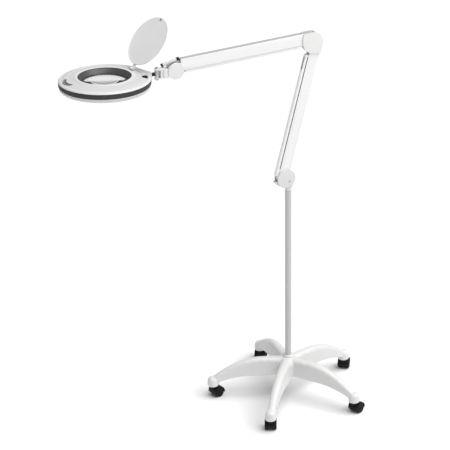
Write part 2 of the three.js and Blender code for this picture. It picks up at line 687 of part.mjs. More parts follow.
part(lamp, 'knuckle_core', knuckleCore(), white);
part(lamp, 'knuckle_front_cover', cover(KNUCKLE, KNUCKLE_R, -1, [knucklePin, knuckleLinkPin]), white);
part(lamp, 'knuckle_back_cover', cover(KNUCKLE, KNUCKLE_R, 1, [knucklePin, knuckleLinkPin]), white);
part(lamp, 'knuckle_arm_pin', pin(knucklePin), steel);
part(lamp, 'knuckle_link_pin', pin(knuckleLinkPin), steel);

layAlong(part(lamp, 'lower_arm_channel', channel(LOWER_ARM, [16, 26]), white), knucklePin, lowerAngle);
layAlong(part(lamp, 'lower_arm_spring', spring(), steel), knucklePin, lowerAngle);
layAlong(part(lamp, 'lower_spring_anchor', springAnchor(), steel), knucklePin, lowerAngle);
const webSlot = block(LOWER_ARM - 86, LOWER_ARM - 46, -SLOT_HALF, SLOT_HALF, LINK_DEPTH[0] - 1, 0);
const lowerLink = cut(link(LOWER_ARM, [16, 40], [0, -1], 3), webSlot);
layAlong(part(lamp, 'lower_link', lowerLink, white), knuckleLinkPin, lowerAngle);

part(lamp, 'elbow_spacer', elbowSpacer(), white);
part(lamp, 'elbow_front_cover', elbowCover(-1), white);
part(lamp, 'elbow_back_cover', elbowCover(1), white);
part(lamp, 'elbow_middle_pin', pin(ELBOW), steel);
part(lamp, 'elbow_lower_pin', pin(elbowLowerPin), steel);
part(lamp, 'elbow_upper_pin', pin(elbowUpperPin), steel);

layAlong(part(lamp, 'upper_arm_channel', channel(UPPER_ARM, [26, 17]), white), elbowUpperPin, upperAngle);
layAlong(part(lamp, 'upper_arm_spring', spring(), steel), elbowUpperPin, upperAngle);
layAlong(part(lamp, 'upper_spring_anchor', springAnchor(), steel), elbowUpperPin, upperAngle);
layAlong(part(lamp, 'upper_link', link(UPPER_ARM, [40, 30], [1, -1], 40), white), ELBOW, upperAngle);

part(lamp, 'wrist_front_cover', cover(wristPin, WRIST_R, -1, [wristPin, wristArmPin]), white);
part(lamp, 'wrist_back_cover', cover(wristPin, WRIST_R, 1, [wristPin, wristArmPin]), white);
part(lamp, 'wrist_middle_pin', pin(wristPin), steel);
part(lamp, 'wrist_arm_pin', pin(wristArmPin), steel);

const wrist = new THREE.Group();
wrist.position.set(wristPin[0], 0, wristPin[1]);
part(wrist, 'tilt_fork', tiltFork(), white);
part(wrist, 'cable_sleeve', cableSleeve(), paleGrey);
part(wrist, 'yoke', yoke(), white);
part(wrist, 'swing_bolt', swingBolt(), steel);
lamp.add(wrist);

const head = new THREE.Group();
head.position.set(wristPin[0] - HEAD_FROM_WRIST, 0, wristPin[1] - HEAD_DROP);
const postAt = HEAD_FROM_WRIST - YOKE_PIN;
const post = cut(
  join(rod('z', 7, -YOKE_Z[0] + GAP, YOKE_Z[0] - GAP, 24), block(-40, 0, -6, 6, -4, 4)),
  rod('z', PIN_R + BORE_GAP, -20, 20),
);
part(head, 'neck_post', post.translate(postAt, 0, HEAD_DROP - ROLL_DROP), steel);
part(head, 'top_cover', topCover(), white);
part(head, 'bottom_cover', bottomCover(), white);
part(head, 'rubber_band', band(), darkGrey);
part(head, 'lens_shade', shade(), darkGrey);
part(head, 'lens', lens(), glass);
part(head, 'lens_ring', lensRing(), darkGrey);
part(head, 'led_board', ledBoard(), circuit);
part(head, 'diffuser', diffuser(), frosted);
part(head, 'driver_board', driverBoard(), circuit);
part(head, 'switch_button', switchButton(), black);

const hinge = new THREE.Group();
hinge.rotation.z = LID_YAW * DEG;
const lidPin = part(hinge, 'lid_pin', rod('y', LID_PIN_R, -10.5, 10.5), steel);
lidPin.position.set(LID_HINGE_R, 0, LID_HINGE_Z);
const lidMesh = part(hinge, 'lid', lid(), paleGrey);
lidMesh.position.copy(lidPin.position);
lidMesh.rotation.y = LID_OPEN * DEG;
head.add(hinge);
lamp.add(head);

export default lamp;
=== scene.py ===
"""Looks of a magnifying lamp on a five-star caster stand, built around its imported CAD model.

Solids are drawn in millimetres in the frame of the thing they belong to, such as an arm, a caster
or the lamp head, and placed in the row frame, in metres, from the CAD joints.
"""

import json
import math

import bmesh
import bpy
from mathutils import Matrix, Vector


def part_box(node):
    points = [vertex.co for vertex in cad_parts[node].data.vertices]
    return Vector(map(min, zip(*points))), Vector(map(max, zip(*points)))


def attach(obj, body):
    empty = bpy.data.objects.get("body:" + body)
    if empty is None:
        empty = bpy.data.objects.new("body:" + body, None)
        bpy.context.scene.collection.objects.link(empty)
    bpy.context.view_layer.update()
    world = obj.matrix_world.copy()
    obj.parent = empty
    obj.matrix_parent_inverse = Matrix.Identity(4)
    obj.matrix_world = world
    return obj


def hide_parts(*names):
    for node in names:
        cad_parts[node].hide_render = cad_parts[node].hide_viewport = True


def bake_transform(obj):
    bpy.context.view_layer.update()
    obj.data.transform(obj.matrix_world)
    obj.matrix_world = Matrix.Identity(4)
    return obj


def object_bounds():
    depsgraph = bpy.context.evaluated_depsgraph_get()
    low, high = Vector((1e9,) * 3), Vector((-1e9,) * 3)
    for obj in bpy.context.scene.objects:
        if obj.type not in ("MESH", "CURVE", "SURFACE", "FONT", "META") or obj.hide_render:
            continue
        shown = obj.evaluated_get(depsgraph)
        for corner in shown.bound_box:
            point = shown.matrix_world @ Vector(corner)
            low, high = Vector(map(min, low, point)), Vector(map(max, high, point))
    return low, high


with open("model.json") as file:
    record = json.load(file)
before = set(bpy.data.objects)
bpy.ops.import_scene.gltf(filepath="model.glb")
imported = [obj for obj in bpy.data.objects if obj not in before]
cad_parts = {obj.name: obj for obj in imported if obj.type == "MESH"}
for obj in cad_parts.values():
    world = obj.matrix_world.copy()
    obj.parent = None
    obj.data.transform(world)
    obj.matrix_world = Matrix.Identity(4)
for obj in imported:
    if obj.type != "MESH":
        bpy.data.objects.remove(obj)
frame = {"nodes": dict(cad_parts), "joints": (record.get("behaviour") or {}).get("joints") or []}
cad_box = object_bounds()
joints = {joint["name"]: joint for joint in frame["joints"]}

MM = 0.001
GAP = 0.3  # clearance between pieces that rest on each other

# Star base
LEG_COUNT = 5
LEG_FLAT = 90  # how far out a leg's top stays level
LEG_TOP = 136
LEG_DROOP = 65
LEG_UNDERSIDE = 77
LEG_WALL = 3.2
CASTER_CIRCLE = 242
BOSS_FOOT = 41
HUB_R = 35
HUB_FLOOR = 75
HUB_TOP = 137

# Pole and casters; a hood's two radii are its inside and its outside
POLE_R = 10
POLE_WALL = 1.5
WHEEL_R = 16.5
WHEEL_W = 14
WHEEL_INNER_Y = 4.5
STEM_R = 5.5
HOOD_IN = 17.6
HOOD_OUT = 19.6

# Arms; half widths across the arms are called _OUT and _IN
CHANNEL_HALF = 17.5
CHANNEL_OUT = 9
CHANNEL_WALL = 1.2
LINK_OUT = 7.2
LINK_LOW = -12.3
LINK_HIGH = 15.7
GROOVE = (-5.2, -3)  # heights of the groove along each side of a link
GROOVE_DEPTH = 0.8
SLOT_HALF = 4.5
TONGUE_R = 9
TONGUE_HALF = 5.6
PIN_R = 3
COVER_IN = 9.5
COVER_OUT = 13
CORE_OUT = 9.2
KNUCKLE_R = 30
ELBOW_R = 32
WRIST_R = 25
SCREW_AT = (9.8, -9.2)
SCREW_R = 3.1
SCREW_DEPTH = 1.5
ROLL_DROP = 3.5  # the roll axis under the wrist pin
SLEEVE_FOOT = (-42, 0, 19)
SLEEVE_SLOPE = 14
SLEEVE_R = 5
YOKE_PIN = 55
YOKE_IN = 11.3
YOKE_OUT = 16

# Lamp head, from the middle of the lens, with its neck towards +X
HEAD_R = 131
BAND_HALF = 7
BAND_GAP = 24
BAND_INNER_R = 127.2
OPENING_R = 75.8
LENS_R = 68.2
NECK_END = 141
NECK_HALF = 9
LID_R = 76.5
LID_HINGE_R = 90.5
LID_HINGE_Z = 22
LID_OPEN = 129.5
LID_SCOOP_X = 7 - LID_HINGE_R - LID_R
LID_SCOOP_R = 4.5
RECESS_FLOOR = 10.6
SWITCH_R = 8.4


# ---------------------------------------------------------------- where things are
def joint_at(name):
    return Vector(joints[name]["pos_m"])


def joint_axis(name):
    return Vector(joints[name]["axis"]).normalized()


def frame_of(origin, x_axis, z_axis):
    """A place whose X and Z lie along these directions of the row frame."""
    x = Vector(x_axis).normalized()
    z = Vector(z_axis).normalized()
    y = z.cross(x)
    return Matrix.Translation(origin) @ Matrix((x, y, z)).transposed().to_4x4()


def arm_frame(first, last):
    """An arm's place: X from its first pin to its last, Z towards its outer face."""
    along = (last - first).normalized()
    return frame_of(first, along, Vector((along.z, 0, -along.x)))


def turn_z(degrees):
    return Matrix.Rotation(math.radians(degrees), 4, "Z")


pole_axis = joint_at("lamp_turn")
POLE = Matrix.Translation((pole_axis.x, pole_axis.y, 0))
KNUCKLE = Matrix.Translation(sum(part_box("knuckle_front_cover"), Vector()) / 2)
KNUCKLE[1][3] = pole_axis.y
ELBOW = Matrix.Translation(joint_at("upper_link_tilt"))
WRIST = Matrix.Translation(joint_at("head_tilt"))
LOWER_ARM = arm_frame(joint_at("lower_arm_tilt"), joint_at("elbow_level"))
LOWER_LINK = arm_frame(joint_at("lower_link_tilt"), joint_at("upper_link_tilt"))
UPPER_ARM = arm_frame(joint_at("upper_arm_tilt"), joint_at("wrist_level"))
UPPER_LINK = arm_frame(joint_at("upper_link_tilt"), joint_at("head_tilt"))
LOWER_LENGTH = (joint_at("elbow_level") - joint_at("lower_arm_tilt")).length / MM
UPPER_LENGTH = (joint_at("wrist_level") - joint_at("upper_arm_tilt")).length / MM
HEAD = Matrix.Translation(sum(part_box("lens"), Vector()) / 2)
lid_axis = joint_axis("lid_hinge")
LID = frame_of(joint_at("lid_hinge"), lid_axis.cross(Vector((0, 0, 1))), (0, 0, 1))
LID_REST = LID @ Matrix.Rotation(math.radians(LID_OPEN), 4, "Y")
lid_yaw = math.degrees(math.atan2(-lid_axis.x, lid_axis.y))
switch_at = (joint_at("switch_press") - HEAD.translation) / MM
swing_axis = (joint_at("head_swing") - HEAD.translation) / MM
CASTER_TRAIL = (joint_at("caster_1_left_roll") - joint_at("caster_1_swivel")).xy.length / MM


# ---------------------------------------------------------------- outlines
def arc(cx, cy, radius, start, end, steps):
    """Points along an arc, angles in degrees."""
    turns = [math.radians(start + (end - start) * i / steps) for i in range(steps + 1)]
    return [(cx + radius * math.cos(a), cy + radius * math.sin(a)) for a in turns]


def rounded(corners, steps=4):
    """An outline from corners (x, y) or (x, y, radius), with its round corners drawn out."""
    points = []
    count = len(corners)
    for i, corner in enumerate(corners):
        here = Vector(corner[:2])
        radius = corner[2] if len(corner) > 2 else 0
        if radius == 0:
            points.append(tuple(here))
            continue
        back = Vector(corners[i - 1][:2]) - here
        on = Vector(corners[(i + 1) % count][:2]) - here
        half = back.angle(on) / 2
        reach = min(radius / math.tan(half), 0.49 * back.length, 0.49 * on.length)
        middle = (back.normalized() + on.normalized()).normalized()
        centre = here + middle * (reach / math.cos(half))
        first = here + back.normalized() * reach - centre
        last = here + on.normalized() * reach - centre
        start = math.atan2(first.y, first.x)
        sweep = math.remainder(math.atan2(last.y, last.x) - start, 2 * math.pi)
        for s in range(steps + 1):
            angle = start + sweep * s / steps
            points.append((
                centre.x + first.length * math.cos(angle),
                centre.y + first.length * math.sin(angle),
            ))
    return points


# ---------------------------------------------------------------- solids
def skin(rings):
    """Joins equal rings of points into one surface, closed at its two ends."""
    solid = bmesh.new()
    rows = [[solid.verts.new(point) for point in ring] for ring in rings]
    size = len(rows[0])
    for low, high in zip(rows, rows[1:]):
        for i in range(size):
            j = (i + 1) % size
            solid.faces.new((low[i], low[j], high[j], high[i]))
    solid.faces.new(reversed(rows[0]))
    solid.faces.new(rows[-1])
    return tidy(solid)


def tidy(solid):
    """Merges doubled points and turns the faces outwards."""
    bmesh.ops.remove_doubles(solid, verts=solid.verts, dist=1e-4)
    bmesh.ops.dissolve_degenerate(solid, edges=solid.edges, dist=1e-5)
    bmesh.ops.recalc_face_normals(solid, faces=solid.faces)
    return solid


def lathe(section, segments=96):
    """A closed section of points (radius, z), turned about Z. Points on the axis close it."""
    solid = bmesh.new()
    turns = [2 * math.pi * s / segments for s in range(segments)]
    rows = []
    for radius, z in section:
        if radius < 1e-6:
            rows.append([solid.verts.new((0, 0, z))] * segments)
        else:
            rows.append([solid.verts.new((radius * math.cos(a), radius * math.sin(a), z)) for a in turns])
    for low, high in zip(rows, rows[1:] + rows[:1]):
        for s in range(segments):
            corners = [low[s], low[(s + 1) % segments], high[(s + 1) % segments], high[s]]
            corners = [v for k, v in enumerate(corners) if v not in corners[:k]]
            if len(corners) > 2:
                solid.faces.new(corners)
    return tidy(solid)


def prism(outline, low, high):
    """A flat outline in x and y, raised from low to high."""
    return skin([[(x, y, z) for x, y in outline] for z in (low, high)])


def slab(outline, low, high):
    """A flat outline in x and z, with its thickness along Y from low to high."""
    return skin([[(x, y, z) for x, z in outline] for y in (low, high)])


def disc(x, z, radius, low, high, segments=64):
    return slab(arc(x, z, radius, 0, 360 - 360 / segments, segments - 1), low, high)


def block(x0, x1, y0, y1, z0, z1):
    return prism([(x0, y0), (x1, y0), (x1, y1), (x0, y1)], z0, z1)


def rod(axis, radius, start, end, segments=32):
    circle = arc(0, 0, radius, 0, 360 - 360 / segments, segments - 1)
    place = {
        "x": lambda a, b, t: (t, a, b),
        "y": lambda a, b, t: (a, t, b),
        "z": lambda a, b, t: (a, b, t),
    }[axis]
    return skin([[place(a, b, t) for a, b in circle] for t in (start, end)])


def tube(points, radius, sides=8):
    """A round bar along a path of points."""
    path = [Vector(p) for p in points]
    rings = []
    for i, point in enumerate(path):
        ahead = (path[min(i + 1, len(path) - 1)] - path[max(i - 1, 0)]).normalized()
        across = ahead.cross(Vector((0.13, 0.21, 0.97))).normalized()
        up = across.cross(ahead)
        turns = [2 * math.pi * s / sides for s in range(sides)]
        rings.append([point + radius * (math.cos(a) * across + math.sin(a) * up) for a in turns])
    return skin(rings)


def moved(solid, matrix):
    bmesh.ops.transform(solid, matrix=matrix, verts=solid.verts)
    return solid


def shifted(solid, x=0, y=0, z=0):
    return moved(solid, Matrix.Translation((x, y, z)))


# ---------------------------------------------------------------- booleans and modifiers
def as_object(solid, name="work"):
    mesh = bpy.data.meshes.new(name)
    solid.to_mesh(mesh)
    solid.free()
    obj = bpy.data.objects.new(name, mesh)
    bpy.context.scene.collection.objects.link(obj)
    return obj


def as_solid(obj):
    """The object's mesh with its modifiers applied; the object goes."""
    bpy.context.view_layer.update()
    evaluated = obj.evaluated_get(bpy.context.evaluated_depsgraph_get())
    solid = bmesh.new()
    solid.from_mesh(evaluated.to_mesh())
    evaluated.to_mesh_clear()
    drop(obj)
    return solid


def drop(obj):
    mesh = obj.data
    bpy.data.objects.remove(obj)
    bpy.data.meshes.remove(mesh)


def combine(operation, base, others):
    obj = as_object(base)
    tools = [as_object(other) for other in others]
    for tool in tools:
        step = obj.modifiers.new(operation, "BOOLEAN")
        step.operation = operation
        step.solver = "EXACT"
        step.object = tool
    solid = as_solid(obj)
    for tool in tools:
        drop(tool)
    return solid


def join(base, *others):
    return combine("UNION", base, others)


def cut(base, *tools):
    return combine("DIFFERENCE", base, tools)


def keep(base, *tools):
    return combine("INTERSECT", base, tools)


def bevelled(solid, width, steps=3, angle=38):
    """Rounds every edge sharper than the angle."""
    obj = as_object(solid)
    bevel = obj.modifiers.new("edges", "BEVEL")
    bevel.width = width
    bevel.segments = steps
    bevel.limit_method = "ANGLE"
    bevel.angle_limit = math.radians(angle)
    bevel.use_clamp_overlap = True
    return as_solid(obj)


def moulded(solids, voxel, smoothing=6, share=0.3):
    """Melts overlapping solids into one moulding with soft inner corners."""
    whole = bmesh.new()
    for solid in solids:
        mesh = bpy.data.meshes.new("work")
        solid.to_mesh(mesh)
        solid.free()
        whole.from_mesh(mesh)
        bpy.data.meshes.remove(mesh)
    obj = as_object(whole)
    remesh = obj.modifiers.new("melt", "REMESH")
    remesh.mode = "VOXEL"
    remesh.voxel_size = voxel
    smooth = obj.modifiers.new("soften", "SMOOTH")
    smooth.factor = 0.5
    smooth.iterations = smoothing
    thin = obj.modifiers.new("thin", "DECIMATE")
    thin.ratio = share
    return as_solid(obj)


def piece(name, solid, place, material, body, replaces=(), smooth=32):
    """Puts a solid in its place in the row frame and lets it ride on a body, if one is named."""
    moved(solid, place @ Matrix.Scale(MM, 4))
    bmesh.ops.triangulate(solid, faces=[f for f in solid.faces if len(f.verts) > 4])
    bmesh.ops.recalc_face_normals(solid, faces=solid.faces)
    obj = as_object(solid, name)
    obj.data.materials.append(material)
    for face in obj.data.polygons:
        face.use_smooth = True
    obj.data.set_sharp_from_angle(angle=math.radians(smooth))
    if body:
        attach(obj, body)
    if replaces:
        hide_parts(*replaces)
    return obj


# ---------------------------------------------------------------- materials
def noise(tree, scale, detail=3.0, roughness=0.55):
    """Noise in the object's own metres."""
    coordinates = tree.nodes.new("ShaderNodeTexCoord")
    texture = tree.nodes.new("ShaderNodeTexNoise")
    texture.inputs["Scale"].default_value = scale
    texture.inputs["Detail"].default_value = detail
    texture.inputs["Roughness"].default_value = roughness
    tree.links.new(coordinates.outputs["Object"], texture.inputs["Vector"])
    return texture.outputs["Fac"]


def spread(tree, value, low, high):
    """Maps a 0.3 to 0.7 noise value to a range."""
    ramp = tree.nodes.new("ShaderNodeMapRange")
    ramp.inputs["From Min"].default_value = 0.3
    ramp.inputs["From Max"].default_value = 0.7
    ramp.inputs["To Min"].default_value = low
    ramp.inputs["To Max"].default_value = high
    tree.links.new(value, ramp.inputs["Value"])
    return ramp.outputs["Result"]


def blend_colours(tree, factor, first, second):
    mix = tree.nodes.new("ShaderNodeMix")
    mix.data_type = "RGBA"
    mix.inputs["A"].default_value = (*first, 1)
    mix.inputs["B"].default_value = (*second, 1)
    tree.links.new(factor, mix.inputs["Factor"])
    return mix.outputs["Result"]


def surface(
    name, colour, shade, rough, grain, bump=0.0, bump_scale=900, metallic=0.0, coat=0.0, specular=0.5
):
    """A moulded, painted or brushed surface.

    colour and shade are its two close tones, rough the range of its roughness, and grain the size of the
    cloudy variation, as a noise scale per metre. bump is the depth of the fine texture in metres.
    """
    material = bpy.data.materials.new(name)
    material.use_nodes = True
    tree = material.node_tree
    shader = tree.nodes["Principled BSDF"]
    cloud = noise(tree, grain)
    tree.links.new(blend_colours(tree, spread(tree, cloud, 0, 1), colour, shade), shader.inputs["Base Color"])
    tree.links.new(spread(tree, noise(tree, grain * 5, 4), *rough), shader.inputs["Roughness"])
    shader.inputs["Metallic"].default_value = metallic
    shader.inputs["Specular IOR Level"].default_value = specular
    shader.inputs["Coat Weight"].default_value = coat
    shader.inputs["Coat Roughness"].default_value = 0.25
    if bump:
        relief = tree.nodes.new("ShaderNodeBump")
        relief.inputs["Distance"].default_value = bump
        relief.inputs["Strength"].default_value = 0.6
        tree.links.new(noise(tree, bump_scale, 2, 0.6), relief.inputs["Height"])
        tree.links.new(relief.outputs["Normal"], shader.inputs["Normal"])
    return material


def clear_glass(name):
    material = bpy.data.materials.new(name)
    material.use_nodes = True
    tree = material.node_tree
    shader = tree.nodes["Principled BSDF"]
    shader.inputs["Transmission Weight"].default_value = 1.0
    shader.inputs["IOR"].default_value = 1.5
    tint = blend_colours(tree, spread(tree, noise(tree, 6), 0, 1), (0.91, 0.92, 0.918), (0.93, 0.94, 0.938))
    tree.links.new(tint, shader.inputs["Base Color"])
    tree.links.new(spread(tree, noise(tree, 25), 0.0, 0.02), shader.inputs["Roughness"])
    return material


white_plastic = surface(
    "white_plastic", (0.72, 0.72, 0.715), (0.69, 0.69, 0.685),
    (0.36, 0.48), 9, 0.00004, 1600,
)
# A darker copy of the white plastic: its grey is painted shade on the head's covers and the cable sleeve.
painted_shade_head_plastic = surface(
    "painted_shade_head_plastic", (0.64, 0.64, 0.635), (0.61, 0.61, 0.605),
    (0.36, 0.48), 9, 0.00004, 1600,
)
# A lighter copy of the white plastic: its extra lightness is painted light on the wrist covers, the elbow
# rim, the tilt fork and the yoke.
painted_light_joint_plastic = surface(
    "painted_light_joint_plastic", (0.77, 0.77, 0.765), (0.74, 0.74, 0.735),
    (0.36, 0.48), 9, 0.00004, 1600,
)
# A still lighter copy of the white plastic: painted light on the elbow covers.
painted_light_elbow_plastic = surface(
    "painted_light_elbow_plastic", (0.82, 0.82, 0.815), (0.79, 0.79, 0.785),
    (0.30, 0.40), 9, 0.00004, 1600,
)
white_paint = surface(
    "white_paint", (0.87, 0.87, 0.87), (0.85, 0.85, 0.85),
    (0.30, 0.42), 7, 0.00006, 700, coat=0.15,
)
grey_paint = surface(
    "grey_paint", (0.54, 0.54, 0.542), (0.50, 0.50, 0.502),
    (0.30, 0.42), 8, 0.00003, 900, coat=0.2,
)
# Grey painted shade on the upper arm's roof, the upper link's web and the lid's scoop.
painted_shade_strip = surface(
    "painted_shade_strip", (0.45, 0.45, 0.455), (0.42, 0.42, 0.425),
    (0.42, 0.52), 12, 0.00003, 1200,
)
# Near white painted highlight on the lower arm's roof and the lower link's web.
painted_highlight_strip = surface(
    "painted_highlight_strip", (0.92, 0.92, 0.92), (0.89, 0.89, 0.89),
    (0.42, 0.52), 12, 0.00003, 1200,
)
pale_plastic = surface(
    "pale_plastic", (0.87, 0.87, 0.87), (0.85, 0.85, 0.85),
    (0.42, 0.54), 10, 0.00004, 1500,
)
dark_plastic = surface(
    "dark_plastic", (0.062, 0.062, 0.063), (0.050, 0.050, 0.051),
    (0.34, 0.46), 10, 0.00003, 1400,
)
# Dark grey painted shade on the floor of the head's grip recess.
painted_shade_recess = surface(
    "painted_shade_recess", (0.19, 0.19, 0.19), (0.16, 0.16, 0.16),
    (0.40, 0.50), 10, 0.00003, 1400,
)
black_plastic = surface(
    "black_plastic", (0.006, 0.006, 0.007), (0.010, 0.010, 0.011),
    (0.38, 0.52), 20, 0.00005, 1200, specular=0.16,
)
band_rubber = surface(
    "band_rubber", (0.034, 0.034, 0.035), (0.028, 0.028, 0.029),
    (0.55, 0.70), 14, 0.00006, 1300,
)
wheel_rubber = surface(
    "wheel_rubber", (0.006, 0.006, 0.006), (0.011, 0.010, 0.010),
    (0.45, 0.65), 30, 0.00008, 1000, specular=0.16,
)
steel = surface(
    "steel", (0.56, 0.56, 0.57), (0.48, 0.48, 0.49),
    (0.22, 0.36), 60, 0.00002, 2500, metallic=1.0,
)
frosted = surface(
    "frosted_plastic", (0.82, 0.82, 0.80), (0.80, 0.80, 0.78),
    (0.50, 0.62), 12, 0.00008, 1400,
)
circuit = surface(
    "circuit", (0.68, 0.69, 0.66), (0.62, 0.63, 0.60),
    (0.40, 0.55), 40, 0.00003, 2000,
)
lens_glass = clear_glass("lens_glass")


# ---------------------------------------------------------------- star base
def leg_top(radius):
    droop = max(0, (radius - LEG_FLAT) / (CASTER_CIRCLE - LEG_FLAT))
    return LEG_TOP - LEG_DROOP * droop**1.9


def leg_underside(radius):
    start = CASTER_CIRCLE / 2
    droop = max(0, (radius - start) / start)
    return LEG_UNDERSIDE - (LEG_UNDERSIDE - BOSS_FOOT - 6) * droop**2


def leg_section(radius, inset):
    """A leg's section: straight sides under a round ridge. inset moves it inwards for the hollow."""
    share = radius / CASTER_CIRCLE
    foot = 19.5 - 7.5 * share - inset
    shoulder = 17.5 - 6.5 * share - inset
    top = leg_top(radius) - inset
    low = leg_underside(radius) - (0 if inset == 0 else 4)
    ridge = max(1.0, min(13.5, shoulder - 0.5))
    corners = [(-foot, low), (foot, low), (shoulder, top, ridge), (-shoulder, top, ridge)]
    return [(radius, y, z) for y, z in rounded(corners, steps=6)]


def leg(inset, start, end):
    steps = 26
    return skin([leg_section(start + (end - start) * i / steps, inset) for i in range(steps + 1)])


def leg_ribs():
    """Stiffening ribs in a leg's hollow: one along it and a row across."""
    ribs = []
    for radius in range(60, 220, 26):
        half = 17 - 6 * radius / CASTER_CIRCLE
        heights = (leg_underside(radius) + 6, leg_top(radius) - 4)
        ribs.append(block(radius - 1.2, radius + 1.2, -half, half, *heights))
    lower = [(r, leg_underside(r) + 6) for r in range(32, 227, 13)]
    upper = [(r, leg_top(r) - 4) for r in range(227, 31, -13)]
    ribs.append(slab(lower + upper, -1.2, 1.2))
    return ribs


def star_base():
    legs = []
    ribs = []
    bosses = []
    boss = [(0, 0), (16.6, 0, 1), (18, 2.5, 1.5), (17.6, 12, 6), (16.2, 24, 8), (9.5, 31, 8), (0, 32)]
    hub = [(0, HUB_FLOOR), (HUB_R, HUB_FLOOR, 1), (HUB_R, HUB_TOP - 16, 10), (23, HUB_TOP - 1.5, 8)]
    hub += [(15.5, HUB_TOP, 1), (0, HUB_TOP)]
    for i in range(LEG_COUNT):
        yaw = turn_z(leg_yaw(i + 1))
        shell = cut(leg(0, 0, CASTER_CIRCLE), leg(LEG_WALL, 30, 232))
        legs.append(moved(shell, yaw))
        ribs += [moved(rib, yaw) for rib in leg_ribs()]
        bosses.append(moved(shifted(lathe(rounded(boss), 48), x=CASTER_CIRCLE, z=BOSS_FOOT), yaw))
    base = moulded([lathe(rounded(hub), 64), *legs, *ribs, *bosses], 1.5, 7, 0.3)
    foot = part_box("pole")[0].z / MM
    bores = [rod("z", POLE_R + 0.1, foot, HUB_TOP + 10, 48), rod("z", 4.3, HUB_FLOOR - 8, foot + 2)]
    for i in range(LEG_COUNT):
        bore = rod("z", STEM_R + GAP, BOSS_FOOT - 10, BOSS_FOOT + 25)
        bores.append(moved(shifted(bore, x=CASTER_CIRCLE), turn_z(leg_yaw(i + 1))))
    return cut(base, *bores)


def leg_yaw(number):
    offset = joint_at(f"caster_{number}_swivel") - pole_axis
    return math.degrees(math.atan2(offset.y, offset.x))


def pole():
    low, high = (corner.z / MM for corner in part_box("pole"))
    inside = POLE_R - POLE_WALL
    return lathe(rounded([(inside, low), (POLE_R, low, 0.4), (POLE_R, high, 0.5), (inside, high, 0.4)]), 64)


def pole_collar():
    inside = POLE_R + 0.2
    section = [(inside, 0.3), (16, 0.3, 0.5), (15.4, 4, 1.5), (12.8, 6.7, 1.2), (inside, 6.7, 0.4)]
    return shifted(lathe(rounded(section), 64), z=HUB_TOP)


piece("star_base_moulding", star_base(), POLE, white_plastic, "base", ["star_base"], 60)
piece("pole_tube", pole(), POLE, grey_paint, "base", ["pole"])
piece("pole_collar_ring", pole_collar(), POLE, white_plastic, "base", ["pole_collar"])


# ---------------------------------------------------------------- casters
def caster_hood():
    """Hood over two wheels, with its swivel on z and its axle trailing along +X."""
    width = WHEEL_INNER_Y + WHEEL_W
    shell = slab(arc(0, 0, HOOD_OUT, -12, 192, 40) + arc(0, 0, HOOD_IN, 192, -12, 40), -width, width)
    web = slab(arc(0, 0, HOOD_OUT - 1, -25, 205, 32), 1 - WHEEL_INNER_Y, WHEEL_INNER_Y - 1)
    axle = rod("y", 2.4, 1 - width, width - 1)
    hood = shifted(join(bevelled(shell, 0.7), web, axle), x=CASTER_TRAIL, z=WHEEL_R)
    saddle = lathe(rounded([(0, 30), (9, 30), (9, 39.5, 0.8), (0, 39.5)]), 40)
    rim = shifted(rod("y", HOOD_OUT - 0.3, -30, 30, 64), x=CASTER_TRAIL, z=WHEEL_R)
    stem = rod("z", STEM_R, 36, 65)
    return join(hood, cut(saddle, rim), stem)


def caster_wheel(side):
    """A wheel with a rounded tread and a dished outer face; side is 1 towards +Y."""
    section = [
        (2.8, 0), (6, 0, 0.5), (6.5, 1.4, 0.5), (12.6, 1.4, 0.5), (13.4, 0.3, 0.4), (15.4, 0.3, 0.8),
        (WHEEL_R, 1.5, 1.2), (WHEEL_R, WHEEL_W - 2.2, 1.8), (14.8, WHEEL_W - 0.2, 0.8),
        (13.5, WHEEL_W - 0.2, 0.3),
        (13.0, WHEEL_W - 1.1, 0.3), (7, WHEEL_W - 1.8, 0.8), (6.4, WHEEL_W - 0.5, 0.5), (4.6, WHEEL_W, 0.8),
        (2.8, WHEEL_W - 0.2),
    ]
    wheel = lathe(rounded(section), 64)
    moved(wheel, Matrix.Rotation(math.radians(-90 * side), 4, "X"))
    return shifted(wheel, x=CASTER_TRAIL, y=side * WHEEL_INNER_Y, z=WHEEL_R)


for number in range(1, LEG_COUNT + 1):
    swivel = joint_at(f"caster_{number}_swivel")
    trailing = joint_at(f"caster_{number}_left_roll") - swivel
    spot = frame_of((swivel.x, swivel.y, 0), (trailing.x, trailing.y, 0), (0, 0, 1))
    label = f"caster_{number}"
    piece(f"{label}_shell", caster_hood(), spot, black_plastic, label, [f"{label}_hood"])
    for word, side in (("left", 1), ("right", -1)):
        node = f"{label}_{word}_wheel"
        piece(f"{node}_tread", caster_wheel(side), spot, wheel_rubber, f"{label}_{word}", [node])


# ---------------------------------------------------------------- arms
def channel(length, first, last):
    """A bent channel, open at the bottom. first and last are how far its side faces stay from the pins."""
    half = CHANNEL_HALF
    inside = CHANNEL_OUT - CHANNEL_WALL
    roof = half - CHANNEL_WALL
    outer = [(-CHANNEL_OUT, -half), (CHANNEL_OUT, -half), (CHANNEL_OUT, half, 2.2), (-CHANNEL_OUT, half, 2.2)]
    inner = [(-inside, -half - 6), (inside, -half - 6), (inside, roof, 1), (-inside, roof, 1)]
    box = skin([[(x, y, z) for y, z in rounded(outer)] for x in (first, length - last)])
    hollow = skin([[(x, y, z) for y, z in rounded(inner)] for x in (-30, length + 30)])
    tongues = []
    for at, reach in ((0, first + 8), (length, -last - 8)):
        tongues.append(disc(at, 0, TONGUE_R, -CHANNEL_OUT, CHANNEL_OUT, 48))
        near, far = sorted((at, at + reach))
        tongues.append(block(near, far, -CHANNEL_OUT, CHANNEL_OUT, -TONGUE_HALF, TONGUE_HALF))
    bores = [shifted(rod("y", PIN_R + GAP, -20, 20), x=at) for at in (0, length)]
    body = cut(join(box, *tongues), hollow, *bores)
    return bevelled(body, 0.35, 2)


